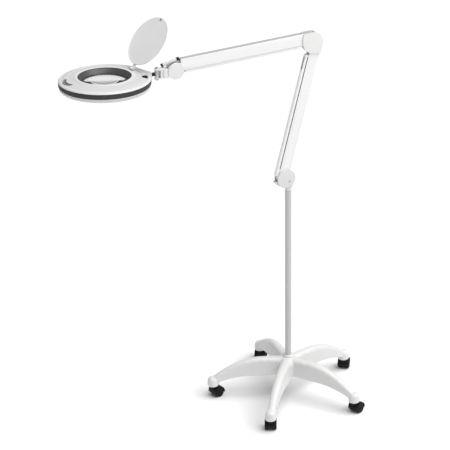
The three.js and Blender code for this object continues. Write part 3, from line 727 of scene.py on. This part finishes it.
def link(length, starts, laps, nose, slot=()):
    """An inner channel with its web on the inner side; laps says which side each half tongue takes.

    nose is how far from the first pin its lower half begins, and slot where its web is cut through.
    """
    inside = LINK_OUT - CHANNEL_WALL
    section = [
        (-LINK_OUT, LINK_LOW, 1.8), (LINK_OUT, LINK_LOW, 1.8), (LINK_OUT, LINK_HIGH), (-LINK_OUT, LINK_HIGH),
    ]
    body = skin([[(x, y, z) for y, z in rounded(section)] for x in (starts[0], length - starts[1])])
    if nose < starts[0]:
        low_section = [(y, min(z, TONGUE_R - 2)) for y, z in rounded(section)]
        body = join(body, skin([[(x, y, z) for y, z in low_section] for x in (nose, starts[0] + 1)]))
    hollow = block(-30, length + 30, -inside, inside, LINK_LOW + CHANNEL_WALL, LINK_HIGH + 20)
    halves = []
    for end, lap in enumerate(laps):
        at = end * length
        reach = (starts[end] + (4 if lap else 10)) * (1 - 2 * end)
        low, high = (-LINK_OUT, LINK_OUT) if lap == 0 else sorted((lap * 0.4, lap * LINK_OUT))
        near, far = sorted((at, at + reach))
        strap = block(near, far, low, high, -TONGUE_HALF, TONGUE_HALF)
        tongue = join(disc(at, 0, TONGUE_R - 1, low, high, 40), strap)
        if lap == 0:
            body = join(body, tongue)
        else:
            halves.append(tongue)
    bores = [shifted(rod("y", PIN_R + GAP, -20, 20), x=at) for at in (0, length)]
    grooves = []
    for y in (-LINK_OUT, LINK_OUT):
        span = (starts[0] + 12, length - starts[1] - 6)
        grooves.append(block(*span, y - GROOVE_DEPTH, y + GROOVE_DEPTH, *GROOVE))
    slots = [block(*slot, -SLOT_HALF, SLOT_HALF, LINK_LOW - 1, 0)] if slot else []
    body = cut(body, hollow, *grooves, *slots)
    body = join(body, *halves) if halves else body
    return bevelled(cut(body, *bores), 0.3, 2)


def arm_spring():
    """Close-wound tension spring with its two straight tails."""
    first, last, height, mean, wire = 95, 290, 10, 4.3, 0.85
    turns, per_turn = 78, 12
    coil = []
    for i in range(turns * per_turn + 1):
        angle = 2 * math.pi * i / per_turn
        at = first + (last - first) * i / (turns * per_turn)
        coil.append((at, mean * math.cos(angle), height + mean * math.sin(angle)))
    path = [(30, 0, height), (first - 7, 0, height), (first - 2, mean * 0.6, height), *coil]
    path += [(last + 2, mean * 0.6, height), (last + 6, 0, height), (last + 12, 0, height)]
    return tube(path, wire, 6)


def paint_faces(obj, place, material, chosen):
    """Gives another material to the faces picked by their centre and normal in the place's frame."""
    obj.data.materials.append(material)
    last = len(obj.data.materials) - 1
    inverse = place.inverted()
    for face in obj.data.polygons:
        centre = inverse @ face.center / MM
        normal = inverse.to_3x3() @ face.normal
        if chosen(centre, normal):
            face.material_index = last


def on_roof(centre, normal):
    return normal.z > 0.8 and centre.z > CHANNEL_HALF - 0.5


def on_web(centre, normal):
    return normal.z < -0.8 and centre.z < LINK_LOW + 0.5


# Picks the faces inside a link's side groove, which are painted black as a painted shadow.
def groove_painted_shadow(centre, normal):
    level = GROOVE[0] - 0.1 < centre.z < GROOVE[1] + 0.1
    return level and LINK_OUT - GROOVE_DEPTH - 0.1 < abs(centre.y) < LINK_OUT - 0.1


def arm_covers():
    lower = piece("lower_arm_tube", channel(LOWER_LENGTH, 16, 26), LOWER_ARM, white_paint, "lower_arm",
                  ["lower_arm_channel"])
    upper = piece("upper_arm_tube", channel(UPPER_LENGTH, 26, 17), UPPER_ARM, white_paint, "upper_arm",
                  ["upper_arm_channel"])
    slot = (LOWER_LENGTH - 86, LOWER_LENGTH - 46)
    inner = piece("lower_link_bar", link(LOWER_LENGTH, (16, 40), (0, -1), 3, slot), LOWER_LINK, white_paint,
                  "lower_link", ["lower_link"])
    outer = piece("upper_link_bar", link(UPPER_LENGTH, (40, 30), (1, -1), 40), UPPER_LINK, white_paint,
                  "upper_link", ["upper_link"])
    # Painted shade: grey on the upper arm's roof.
    paint_faces(upper, UPPER_ARM, painted_shade_strip, on_roof)
    # Painted highlight: near white on the lower arm's roof and the lower link's web.
    paint_faces(lower, LOWER_ARM, painted_highlight_strip, on_roof)
    paint_faces(inner, LOWER_LINK, painted_highlight_strip, on_web)
    # Painted shadow: black in the lower link's side grooves.
    paint_faces(inner, LOWER_LINK, black_plastic, groove_painted_shadow)
    # Painted shade: grey on the upper link's web.
    paint_faces(outer, UPPER_LINK, painted_shade_strip, on_web)


arm_covers()
piece("lower_arm_coil", arm_spring(), LOWER_ARM, steel, "lower_arm", ["lower_arm_spring"])
piece("upper_arm_coil", arm_spring(), UPPER_ARM, steel, "upper_arm", ["upper_arm_spring"])


# ---------------------------------------------------------------- knuckles
def cover_outline(radius, corners):
    plate = disc(0, 0, radius, 0, 1, 96)
    return join(plate, *[slab(points, 0, 1) for points in corners]) if corners else plate


def cover(radius, side, corners=(), sockets=()):
    """A round cover plate with a soft outer edge; side -1 faces -Y."""
    solid = cover_outline(radius, corners)
    for vert in solid.verts:
        vert.co.y = side * (COVER_IN if vert.co.y < 0.5 else COVER_OUT)
    bmesh.ops.recalc_face_normals(solid, faces=solid.faces)
    solid = bevelled(solid, 1.6, 5, 50)
    if sockets:
        solid = cut(solid, *sockets)
    return solid


def screw_recess(side):
    low, high = sorted((side * (COVER_OUT - SCREW_DEPTH - 0.1), side * (COVER_OUT + 2)))
    return disc(*SCREW_AT, SCREW_R + GAP, low, high, 32)


def screw(side):
    """A hexagon-socket screw set into a cover."""
    seat = COVER_OUT - SCREW_DEPTH
    top = COVER_OUT - 0.3
    head = lathe(rounded([(0, seat), (SCREW_R, seat), (SCREW_R, top, 0.5), (0, top)]), 32)
    socket = prism(arc(0, 0, 1.6, 0, 300, 5), seat + 0.4, COVER_OUT + 1)
    solid = moved(cut(head, socket), Matrix.Rotation(math.radians(-90 * side), 4, "X"))
    return shifted(solid, x=SCREW_AT[0], z=SCREW_AT[1])


def in_frame(place, inner, points):
    """Points (s, w) of an arm's frame as (x, z) of a knuckle's frame."""
    found = [place.inverted() @ (inner @ (Vector((s, 0, w)) * MM)) / MM for s, w in points]
    return [(point.x, point.z) for point in found]


def knuckle_core():
    x, z = ((KNUCKLE.translation - pole_axis) / MM).xz
    top = 0 - z
    sector = arc(0, 0, KNUCKLE_R, -165, -8, 48) + arc(0, 0, 21, -8, -165, 40)
    ear = rounded([(-18, -24), (-30, -16.5, 3), (-36, -10, 1.6), (-34, -6.5, 1), (-20, -10)])
    edge = POLE_R + 0.5
    shoulder = [(-24, -16), (-x - edge, -30.4), (-x + edge, -30.4), (24, -14), (16, -14), (-12, -17)]
    flat = [slab(points, -CORE_OUT, CORE_OUT) for points in (sector, ear, shoulder)]
    post = lathe(rounded([
        (0, top - 42), (7.2, top - 42, 0.5), (8.2, top - 40, 0.5), (8.2, top + GAP), (edge, top + GAP, 0.6),
        (edge, -KNUCKLE_R - GAP, 0.4), (CORE_OUT, -KNUCKLE_R - GAP), (CORE_OUT, -24), (0, -24),
    ]), 64)
    return bevelled(join(*flat, shifted(post, x=-x)), 0.6, 3, 45)


for word, side in (("front", -1), ("back", 1)):
    plate = cover(KNUCKLE_R, side, (), [screw_recess(side)])
    piece(f"knuckle_{word}_disc", plate, KNUCKLE, white_plastic, "knuckle", [f"knuckle_{word}_cover"])
    piece(f"knuckle_{word}_screw", screw(side), KNUCKLE, steel, "knuckle", ())
piece("knuckle_casting", knuckle_core(), KNUCKLE, white_plastic, "knuckle", ["knuckle_core"])

upper_corner = in_frame(ELBOW, UPPER_ARM, [(0, CHANNEL_HALF), (29, CHANNEL_HALF), (34, -4), (33, -17)])
upper_corner.append((0, 0))
lower_corner = in_frame(ELBOW, LOWER_ARM, [
    (LOWER_LENGTH, CHANNEL_HALF), (LOWER_LENGTH - 29, CHANNEL_HALF), (LOWER_LENGTH - 31, -4),
    (LOWER_LENGTH - 30, -16),
])
lower_corner.append((0, 0))
# The elbow covers take the lightest copy and the wrist covers a lighter copy of the white plastic: painted
# light.
for word, side in (("front", -1), ("back", 1)):
    plate = cover(ELBOW_R, side, [upper_corner, lower_corner])
    piece(f"elbow_{word}_disc", plate, ELBOW, painted_light_elbow_plastic, "elbow", [f"elbow_{word}_cover"])
    plate = cover(WRIST_R, side)
    piece(f"wrist_{word}_disc", plate, WRIST, painted_light_joint_plastic, "wrist", [f"wrist_{word}_cover"])
# The elbow rim takes the lighter copy of the white plastic: painted light.
rim = slab(arc(0, 0, ELBOW_R, -2, 76, 32) + arc(0, 0, 24.8, 76, -2, 28), -CORE_OUT, CORE_OUT)
piece("elbow_rim", bevelled(rim, 0.4), ELBOW, painted_light_joint_plastic, "elbow", ["elbow_spacer"])


# ---------------------------------------------------------------- wrist, from its pin to the head along -X
def tilt_fork():
    body = slab(rounded([(-37, -18, 2), (-20, -18, 1), (-20, 9, 1), (-37, 9, 2)]), -11, 11)
    tongue = join(disc(0, 0, TONGUE_R - 1, -LINK_OUT, -0.4, 48), block(-30, 0, -LINK_OUT, -0.4, -5, 5))
    bores = [shifted(rod("x", 5.3, -50, -31), z=-ROLL_DROP), rod("y", PIN_R + GAP, -20, 20)]
    return bevelled(cut(join(cut(body, disc(0, 0, WRIST_R + 1, -20, 20, 96)), tongue), *bores), 0.7, 3)


def sleeve_place():
    slope = Matrix.Rotation(math.radians(-SLEEVE_SLOPE), 4, "Y")
    return WRIST @ Matrix.Translation(Vector(SLEEVE_FOOT) * MM) @ slope


def cable_sleeve():
    """The flexible sleeve, cut across often enough to bend smoothly."""
    edge = SLEEVE_R - 0.6
    rings = [(0, edge), *((0.2 + i, SLEEVE_R) for i in range(53)), (52.6, edge)]
    return skin([[(x, y, z) for y, z in arc(0, 0, r, 0, 351, 39)] for x, r in rings])


def sleeve_end(start, end):
    section = [(3.2, start), (5.2, start, 0.7), (5.2, end, 0.7), (3.2, end, 0.4)]
    return moved(lathe(rounded(section), 40), Matrix.Rotation(math.radians(90), 4, "Y"))


def yoke():
    web = block(-46, -37.3, -8, 8, -YOKE_OUT, YOKE_OUT)
    tines = []
    for low, high in ((YOKE_IN, YOKE_OUT), (-YOKE_OUT, -YOKE_IN)):
        tines.append(shifted(rod("z", 8, low, high, 48), x=-YOKE_PIN))
        tines.append(block(-YOKE_PIN, -40, -8, 8, low, high))
    envelope = rod("x", YOKE_OUT + 0.2, -80, -30, 64)
    body = keep(join(web, *tines), envelope)
    bore = shifted(rod("z", PIN_R + GAP, -30, 30), x=-YOKE_PIN)
    return shifted(bevelled(join(cut(body, bore), rod("x", 5, -40, -32)), 0.8, 3), z=-ROLL_DROP)


def swing_bolt():
    seat = YOKE_OUT + GAP
    half = [(0, -seat - 3), (5, -seat - 3, 1.4), (5, -seat, 0.3), (PIN_R, -seat)]
    other = [(corner[0], -corner[1], *corner[2:]) for corner in reversed(half)]
    return shifted(lathe(rounded(half + other), 32), x=-YOKE_PIN, z=-ROLL_DROP)


def neck_post():
    middle = lathe(rounded([(3.3, -11), (7, -11, 0.6), (7, 11, 0.6), (3.3, 11)]), 48)
    bar = bevelled(block(-40, -6, -6, 6, -4, 4), 1.2)
    return join(middle, bar)


# The fork and the yoke take the lighter copy of the white plastic: painted light.
piece("tilt_fork_block", tilt_fork(), WRIST, painted_light_joint_plastic, "fork", ["tilt_fork"])
# The sleeve takes the darker copy of the white plastic, its grey painted shade.
sleeve = piece("sleeve_tube", cable_sleeve(), sleeve_place(), painted_shade_head_plastic, None, ["cable_sleeve"])
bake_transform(sleeve)
piece("sleeve_outer_end", sleeve_end(0, 5.2), sleeve_place(), black_plastic, "fork", ())
piece("sleeve_inner_end", sleeve_end(48, 57), sleeve_place(), black_plastic, "wrist", ())
saddle = slab(rounded([(-37, 8), (-31, 8), (-31, 14.2, 0.5), (-37, 12.8, 0.5)]), -4, 4)
piece("sleeve_saddle", bevelled(saddle, 0.6), WRIST, white_plastic, "fork", ())
piece("yoke_bracket", yoke(), WRIST, painted_light_joint_plastic, "yoke", ["yoke"])
piece("swing_bolt_steel", swing_bolt(), WRIST, steel, "yoke", ["swing_bolt"])
neck = piece("neck_swivel", shifted(neck_post(), x=swing_axis.x, z=swing_axis.z), HEAD, steel, "head",
             ["neck_post"])
# The neck bar on the head's side of the round middle is painted black: painted shade for the dark gap between
# the head's neck and the yoke.
paint_faces(neck, HEAD, black_plastic, lambda at, normal: at.x < swing_axis.x - 7.2)


# ---------------------------------------------------------------- lamp head
def teardrop(radius, end, half):
    touch = math.degrees(math.acos((radius - half) / (end - half)))
    return arc(0, 0, radius, touch, 360 - touch, 96) + arc(end - half, 0, half, -touch, touch, 24)


def neck_shell(low, high):
    """The neck's half shell outside the round part of the head."""
    round_part = rod("z", 125.5, -30, 30, 144)
    away = block(-200, HEAD_R * math.cos(math.radians(BAND_GAP)) + GAP, -200, 200, -40, 40)
    return cut(prism(teardrop(HEAD_R - 0.6, NECK_END, NECK_HALF), low, high), round_part, away)


def post_room():
    return block(105, 170, -6.3, 6.3, -2.3, 6.3)


def top_shell():
    rim = BAND_HALF + GAP
    section = rounded([
        (HEAD_R - 0.6, rim), (HEAD_R - 0.9, 8.6, 0.8), (127.4, 11.4, 2.5), (123.2, 12.9, 1),
        (122.4, 11.8, 0.3), (113, 15.2, 12), (104.4, 16.3, 1), (103.6, 15.3, 0.3), (95, 16.8, 10),
        (85.8, 17.3, 1), (84.9, 18.6, 0.4),
        (OPENING_R + 1.2, 19.0, 0.8), (OPENING_R, 18.2, 0.6), (OPENING_R, 16.2), (95, 15), (112, 13.2),
        (121.5, 9.8), (125, rim),
    ])
    return lathe(section, 144)


def polar(radius, degrees):
    return radius * math.cos(math.radians(degrees)), radius * math.sin(math.radians(degrees))


def grip_recess():
    return prism(arc(-84, 0, 38.5, 130, 230, 40) + arc(-70, 0, 40, 220, 140, 32), RECESS_FLOOR, 30)


def grip_pan():
    """The floor under the grip recess."""
    outline = arc(-84, 0, 40, 126, 234, 40) + arc(-70, 0, 38, 224, 136, 32)
    return prism(outline, RECESS_FLOOR - 1.2, RECESS_FLOOR + 1)


def finger_recess():
    """A shallow oval scoop beside the opening, where a finger lifts the closed lid."""
    bowl = bmesh.new()
    bmesh.ops.create_uvsphere(bowl, u_segments=40, v_segments=20, radius=1)
    moved(bowl, Matrix.Diagonal((8.5, 12, 1.6, 1)))
    x, y = polar(93.5, -31)
    return moved(bowl, Matrix.Translation((x, y, 18.0)) @ turn_z(-31))


def top_cover():
    hole = shifted(rod("z", SWITCH_R + GAP, 0, 30, 48), x=switch_at.x, y=switch_at.y)
    shell = cut(join(top_shell(), grip_pan()), bevelled(grip_recess(), 0.8, 2))
    neck = bevelled(neck_shell(GAP / 2, BAND_HALF + GAP + 2.4), 1.2, 3, 50)
    lug = slab(rounded([(-4, -6.6), (4, -6.6), (3.6, 3.6, 3.5), (-3.6, 3.6, 3.5)]), 0, 4)
    lugs = []
    for y in (7, -11):
        part = bevelled(shifted(lug.copy(), y=y), 0.5)
        lugs.append(moved(part, turn_z(lid_yaw) @ Matrix.Translation((LID_HINGE_R, 0, LID_HINGE_Z))))
    lug.free()
    bore = moved(rod("y", 1.8, -20, 20), turn_z(lid_yaw) @ Matrix.Translation((LID_HINGE_R, 0, LID_HINGE_Z)))
    catch_x, catch_y = polar(83.5, 16.6)
    catch = shifted(rod("z", 1.6, 17, 30, 24), x=catch_x, y=catch_y)
    return cut(join(shell, neck, *lugs), hole, bore, post_room(), finger_recess(), catch)


def bottom_cover():
    rim = -BAND_HALF - GAP
    section = rounded([
        (129.3, rim), (129.0, -13.4, 4), (125, -18.3, 4), (118, -20.5, 3), (110.6, -20.5, 0.6),
        (110.6, -17.9),
        (117, -17.5), (122, -14.5), (124.5, rim),
    ])
    shell = lathe(section, 144)
    wall = lathe([(122.5, rim - 2), (126.2, rim - 2), (126.2, rim + 9), (122.5, rim + 9)], 144)
    neck = bevelled(neck_shell(rim - 1.5, -GAP / 2), 1.0, 3, 50)
    return cut(join(shell, wall, neck), post_room())


def rubber_band():
    """The soft rim: a bulged strip with two fine grooves, its two ends cut flat."""
    section = rounded([
        (BAND_INNER_R, -6.9), (HEAD_R - 1.2, -6.9, 1.0), (HEAD_R - 0.2, -4.2, 2), (HEAD_R - 0.2, -3.6),
        (HEAD_R - 0.7, -3.3, 0.2), (HEAD_R - 0.2, -3.0), (HEAD_R, 0, 8), (HEAD_R - 0.2, 3.0),
        (HEAD_R - 0.7, 3.3, 0.2), (HEAD_R - 0.2, 3.6), (HEAD_R - 0.2, 4.2, 2), (HEAD_R - 1.2, 6.9, 1.0),
        (BAND_INNER_R, 6.9),
    ], steps=3)
    steps = 120
    rings = []
    for i in range(steps + 1):
        angle = math.radians(BAND_GAP + (360 - 2 * BAND_GAP) * i / steps)
        rings.append([(r * math.cos(angle), r * math.sin(angle), z) for r, z in section])
    return skin(rings)


def lens_shade():
    inner = OPENING_R - GAP
    section = rounded([
        (inner, 18.4, 0.3), (inner - 0.9, 18.4, 0.3), (73.4, 15.9, 0.6), (72.9, 15.6), (65.2, 5.2, 0.8),
        (64.3, 3.6, 0.4),
        (64.3, 3.1), (LENS_R + GAP, 3.1), (LENS_R + GAP, -19, 0.4), (71, -19, 0.4), (71, 5), (inner, 15),
    ])
    return lathe(section, 144)


def lens_curve():
    steps, edge, curve = 14, 2, 348
    radii = [LENS_R * i / steps for i in range(steps + 1)]
    face = [(radius, edge + (LENS_R**2 - radius**2) / (2 * curve)) for radius in radii]
    return lathe([(r, -z) for r, z in face] + face[::-1], 144)


def lens_clamp():
    inner, low, high = 64.5, -6.5, -3.1
    section = [(inner, low, 0.6), (LENS_R, low, 0.3), (LENS_R, high, 0.3), (inner, high, 0.3)]
    return lathe(rounded(section), 144)


def light_ring():
    """The frosted ring under the lights, with fine concentric ridges on its lower face."""
    low, high, first, last, ridges = -18.6, -16.4, 71 + GAP, 110.6 - GAP, 24
    ridge = (last - first) / ridges
    section = [(first, high), (first, low)]
    for i in range(ridges):
        section += [(first + ridge * (i + 0.5), low - 0.25), (first + ridge * (i + 1), low)]
    return lathe(section + [(last, high)], 144)


def switch_button():
    """A round rocker whose face is dished, set in its collar."""
    top = 17.2
    section = [
        (0, 6.6), (9.6, 6.6, 0.3), (9.6, 8.2, 0.3), (SWITCH_R, 8.2), (SWITCH_R, top, 0.8),
        (6.8, top, 0.6), (5.5, top - 0.9, 1.5), (0, top - 1.1),
    ]
    return lathe(rounded(section), 64)


def lid():
    """Drawn closed, with its hinge axis at the origin and the lens side towards -X."""
    top = 22.4 - LID_HINGE_Z
    low = top - 3.0
    plate = lathe(rounded([
        (0, top - 2.4), (71, top - 2.4, 0.5), (71.8, low, 0.4), (75.7, low, 0.6), (LID_R, top - 1.5, 1.0),
        (75, top - 0.2, 1.2), (65.5, top + 0.3, 8), (0, top + 0.8),
    ]), 144)
    plate = shifted(plate, x=-LID_HINGE_R)
    strap = bevelled(block(-24, 0, -6.5, 6.5, top - 0.2, top + 1.8), 0.6)
    scoop = shifted(rod("z", LID_SCOOP_R, low - 1, top - 1, 32), x=LID_SCOOP_X)
    return cut(join(plate, strap, rod("y", 3.2, -6.5, 6.5)), rod("y", 1.8, -20, 20), scoop)


def lips_painted_highlight(centre, normal):
    """The rim's and the opening's raised lips, painted in the lighter white plastic as a painted highlight.
    """
    radius = centre.xy.length
    return centre.z > 7 and (radius > 122.6 or radius < 85.4)


# The grip recess's floor, which is painted dark grey as painted shade.
def recess_floor_painted_shade(centre, normal):
    return abs(centre.z - RECESS_FLOOR) < 0.3 and normal.z > 0.8


# The lid's finger scoop, which is painted grey as painted shade.
def scoop_painted_shade(centre, normal):
    reach = LID_SCOOP_R + 0.2
    return abs(centre.x - LID_SCOOP_X) < reach and abs(centre.y) < reach and centre.z < 0


# Both head covers take the darker copy of the white plastic, its grey painted shade.
top = piece("top_cover_shell", top_cover(), HEAD, painted_shade_head_plastic, "head", ["top_cover"], 30)
# Painted highlight: the lips take the lighter white plastic.
paint_faces(top, HEAD, white_plastic, lips_painted_highlight)
# Painted shade: dark grey on the grip recess's floor.
paint_faces(top, HEAD, painted_shade_recess, recess_floor_painted_shade)
piece("bottom_cover_shell", bottom_cover(), HEAD, painted_shade_head_plastic, "head", ["bottom_cover"], 30)
piece("rubber_rim", rubber_band(), HEAD, band_rubber, "head", ["rubber_band"])
piece("lens_funnel", lens_shade(), HEAD, dark_plastic, "head", ["lens_shade"])
piece("lens_blank", lens_curve(), HEAD, lens_glass, "head", ["lens"], 60)
piece("lens_clamp_ring", lens_clamp(), HEAD, dark_plastic, "head", ["lens_ring"])
piece("light_ring", light_ring(), HEAD, frosted, "head", ["diffuser"], 10)
button = shifted(switch_button(), x=switch_at.x, y=switch_at.y)
piece("switch_cap", button, HEAD, black_plastic, "switch", ["switch_button"])
plate = piece("lid_plate", lid(), LID_REST, pale_plastic, "lid", ["lid"])
# Painted shade: grey in the lid's finger scoop.
paint_faces(plate, LID_REST, painted_shade_strip, scoop_painted_shade)


# ---------------------------------------------------------------- CAD pieces that stay
def dress(material, *nodes):
    for node in nodes:
        mesh = frame["nodes"][node].data
        mesh.materials.clear()
        mesh.materials.append(material)


dress(steel, "pole_screw", "knuckle_arm_pin", "knuckle_link_pin", "elbow_middle_pin", "elbow_lower_pin")
dress(steel, "elbow_upper_pin", "wrist_middle_pin", "wrist_arm_pin", "lid_pin")
dress(steel, "lower_spring_anchor", "upper_spring_anchor")
dress(circuit, "led_board", "driver_board")


# ---------------------------------------------------------------- studio
CAMERA_YAW = 25.53  # to the left of the lamp's front, degrees
CAMERA_PITCH = 23.97
CAMERA_DISTANCE = 5.0
CAMERA_TARGET_Z = 0.590
CAMERA_LENS = 129.58
CAMERA_SHIFT = (-0.1404, 0.0027)
SKY = 0.36
SUN = 2.9
SUN_WIDTH = 60
SUN_DIRECTION = (-0.28, 0.34, -0.90)


def floor():
    half = 30
    mesh = bpy.data.meshes.new("floor")
    corners = [(-half, -half, 0), (half, -half, 0), (half, half, 0), (-half, half, 0)]
    mesh.from_pydata(corners, [], [(0, 1, 2, 3)])
    obj = bpy.data.objects.new("floor", mesh)
    bpy.context.scene.collection.objects.link(obj)
    paint = surface("floor_paint", (0.90, 0.90, 0.90), (0.89, 0.89, 0.89), (0.75, 0.85), 1, specular=0.1)
    mesh.materials.append(paint)


def area_light(name, place, target, size, power):
    data = bpy.data.lights.new(name, "AREA")
    data.shape = "DISK"
    data.size = size
    data.energy = power
    obj = bpy.data.objects.new(name, data)
    bpy.context.scene.collection.objects.link(obj)
    obj.location = place
    obj.rotation_mode = "QUATERNION"
    obj.rotation_quaternion = (Vector(target) - Vector(place)).to_track_quat("-Z", "Y")


def studio():
    world = bpy.data.worlds.new("studio")
    bpy.context.scene.world = world
    world.use_nodes = True
    world.node_tree.nodes["Background"].inputs["Color"].default_value = (1, 1, 1, 1)
    world.node_tree.nodes["Background"].inputs["Strength"].default_value = SKY
    bpy.context.scene.view_settings.view_transform = "Standard"
    sun = bpy.data.lights.new("sun", "SUN")
    sun.energy = SUN
    sun.angle = math.radians(SUN_WIDTH)
    sun_object = bpy.data.objects.new("sun", sun)
    bpy.context.scene.collection.objects.link(sun_object)
    sun_object.rotation_mode = "QUATERNION"
    sun_object.rotation_quaternion = Vector(SUN_DIRECTION).to_track_quat("-Z", "Y")
    middle = sum(cad_box, Vector()) / 2
    area_light("key", middle + Vector((2.2, -2.6, 2.4)), middle, 1.6, 8)


def camera():
    data = bpy.data.cameras.new("camera")
    obj = bpy.data.objects.new("camera", data)
    bpy.context.scene.collection.objects.link(obj)
    yaw = math.radians(CAMERA_YAW)
    pitch = math.radians(CAMERA_PITCH)
    back = Vector((-math.sin(yaw) * math.cos(pitch), -math.cos(yaw) * math.cos(pitch), math.sin(pitch)))
    target = Vector((pole_axis.x, pole_axis.y, CAMERA_TARGET_Z))
    obj.location = target + back * CAMERA_DISTANCE
    obj.rotation_mode = "QUATERNION"
    obj.rotation_quaternion = (-back).to_track_quat("-Z", "Y")
    data.sensor_width = 36
    data.lens = CAMERA_LENS
    data.shift_x, data.shift_y = CAMERA_SHIFT
    data.clip_end = 100
    bpy.context.scene.camera = obj


floor()
studio()
camera()
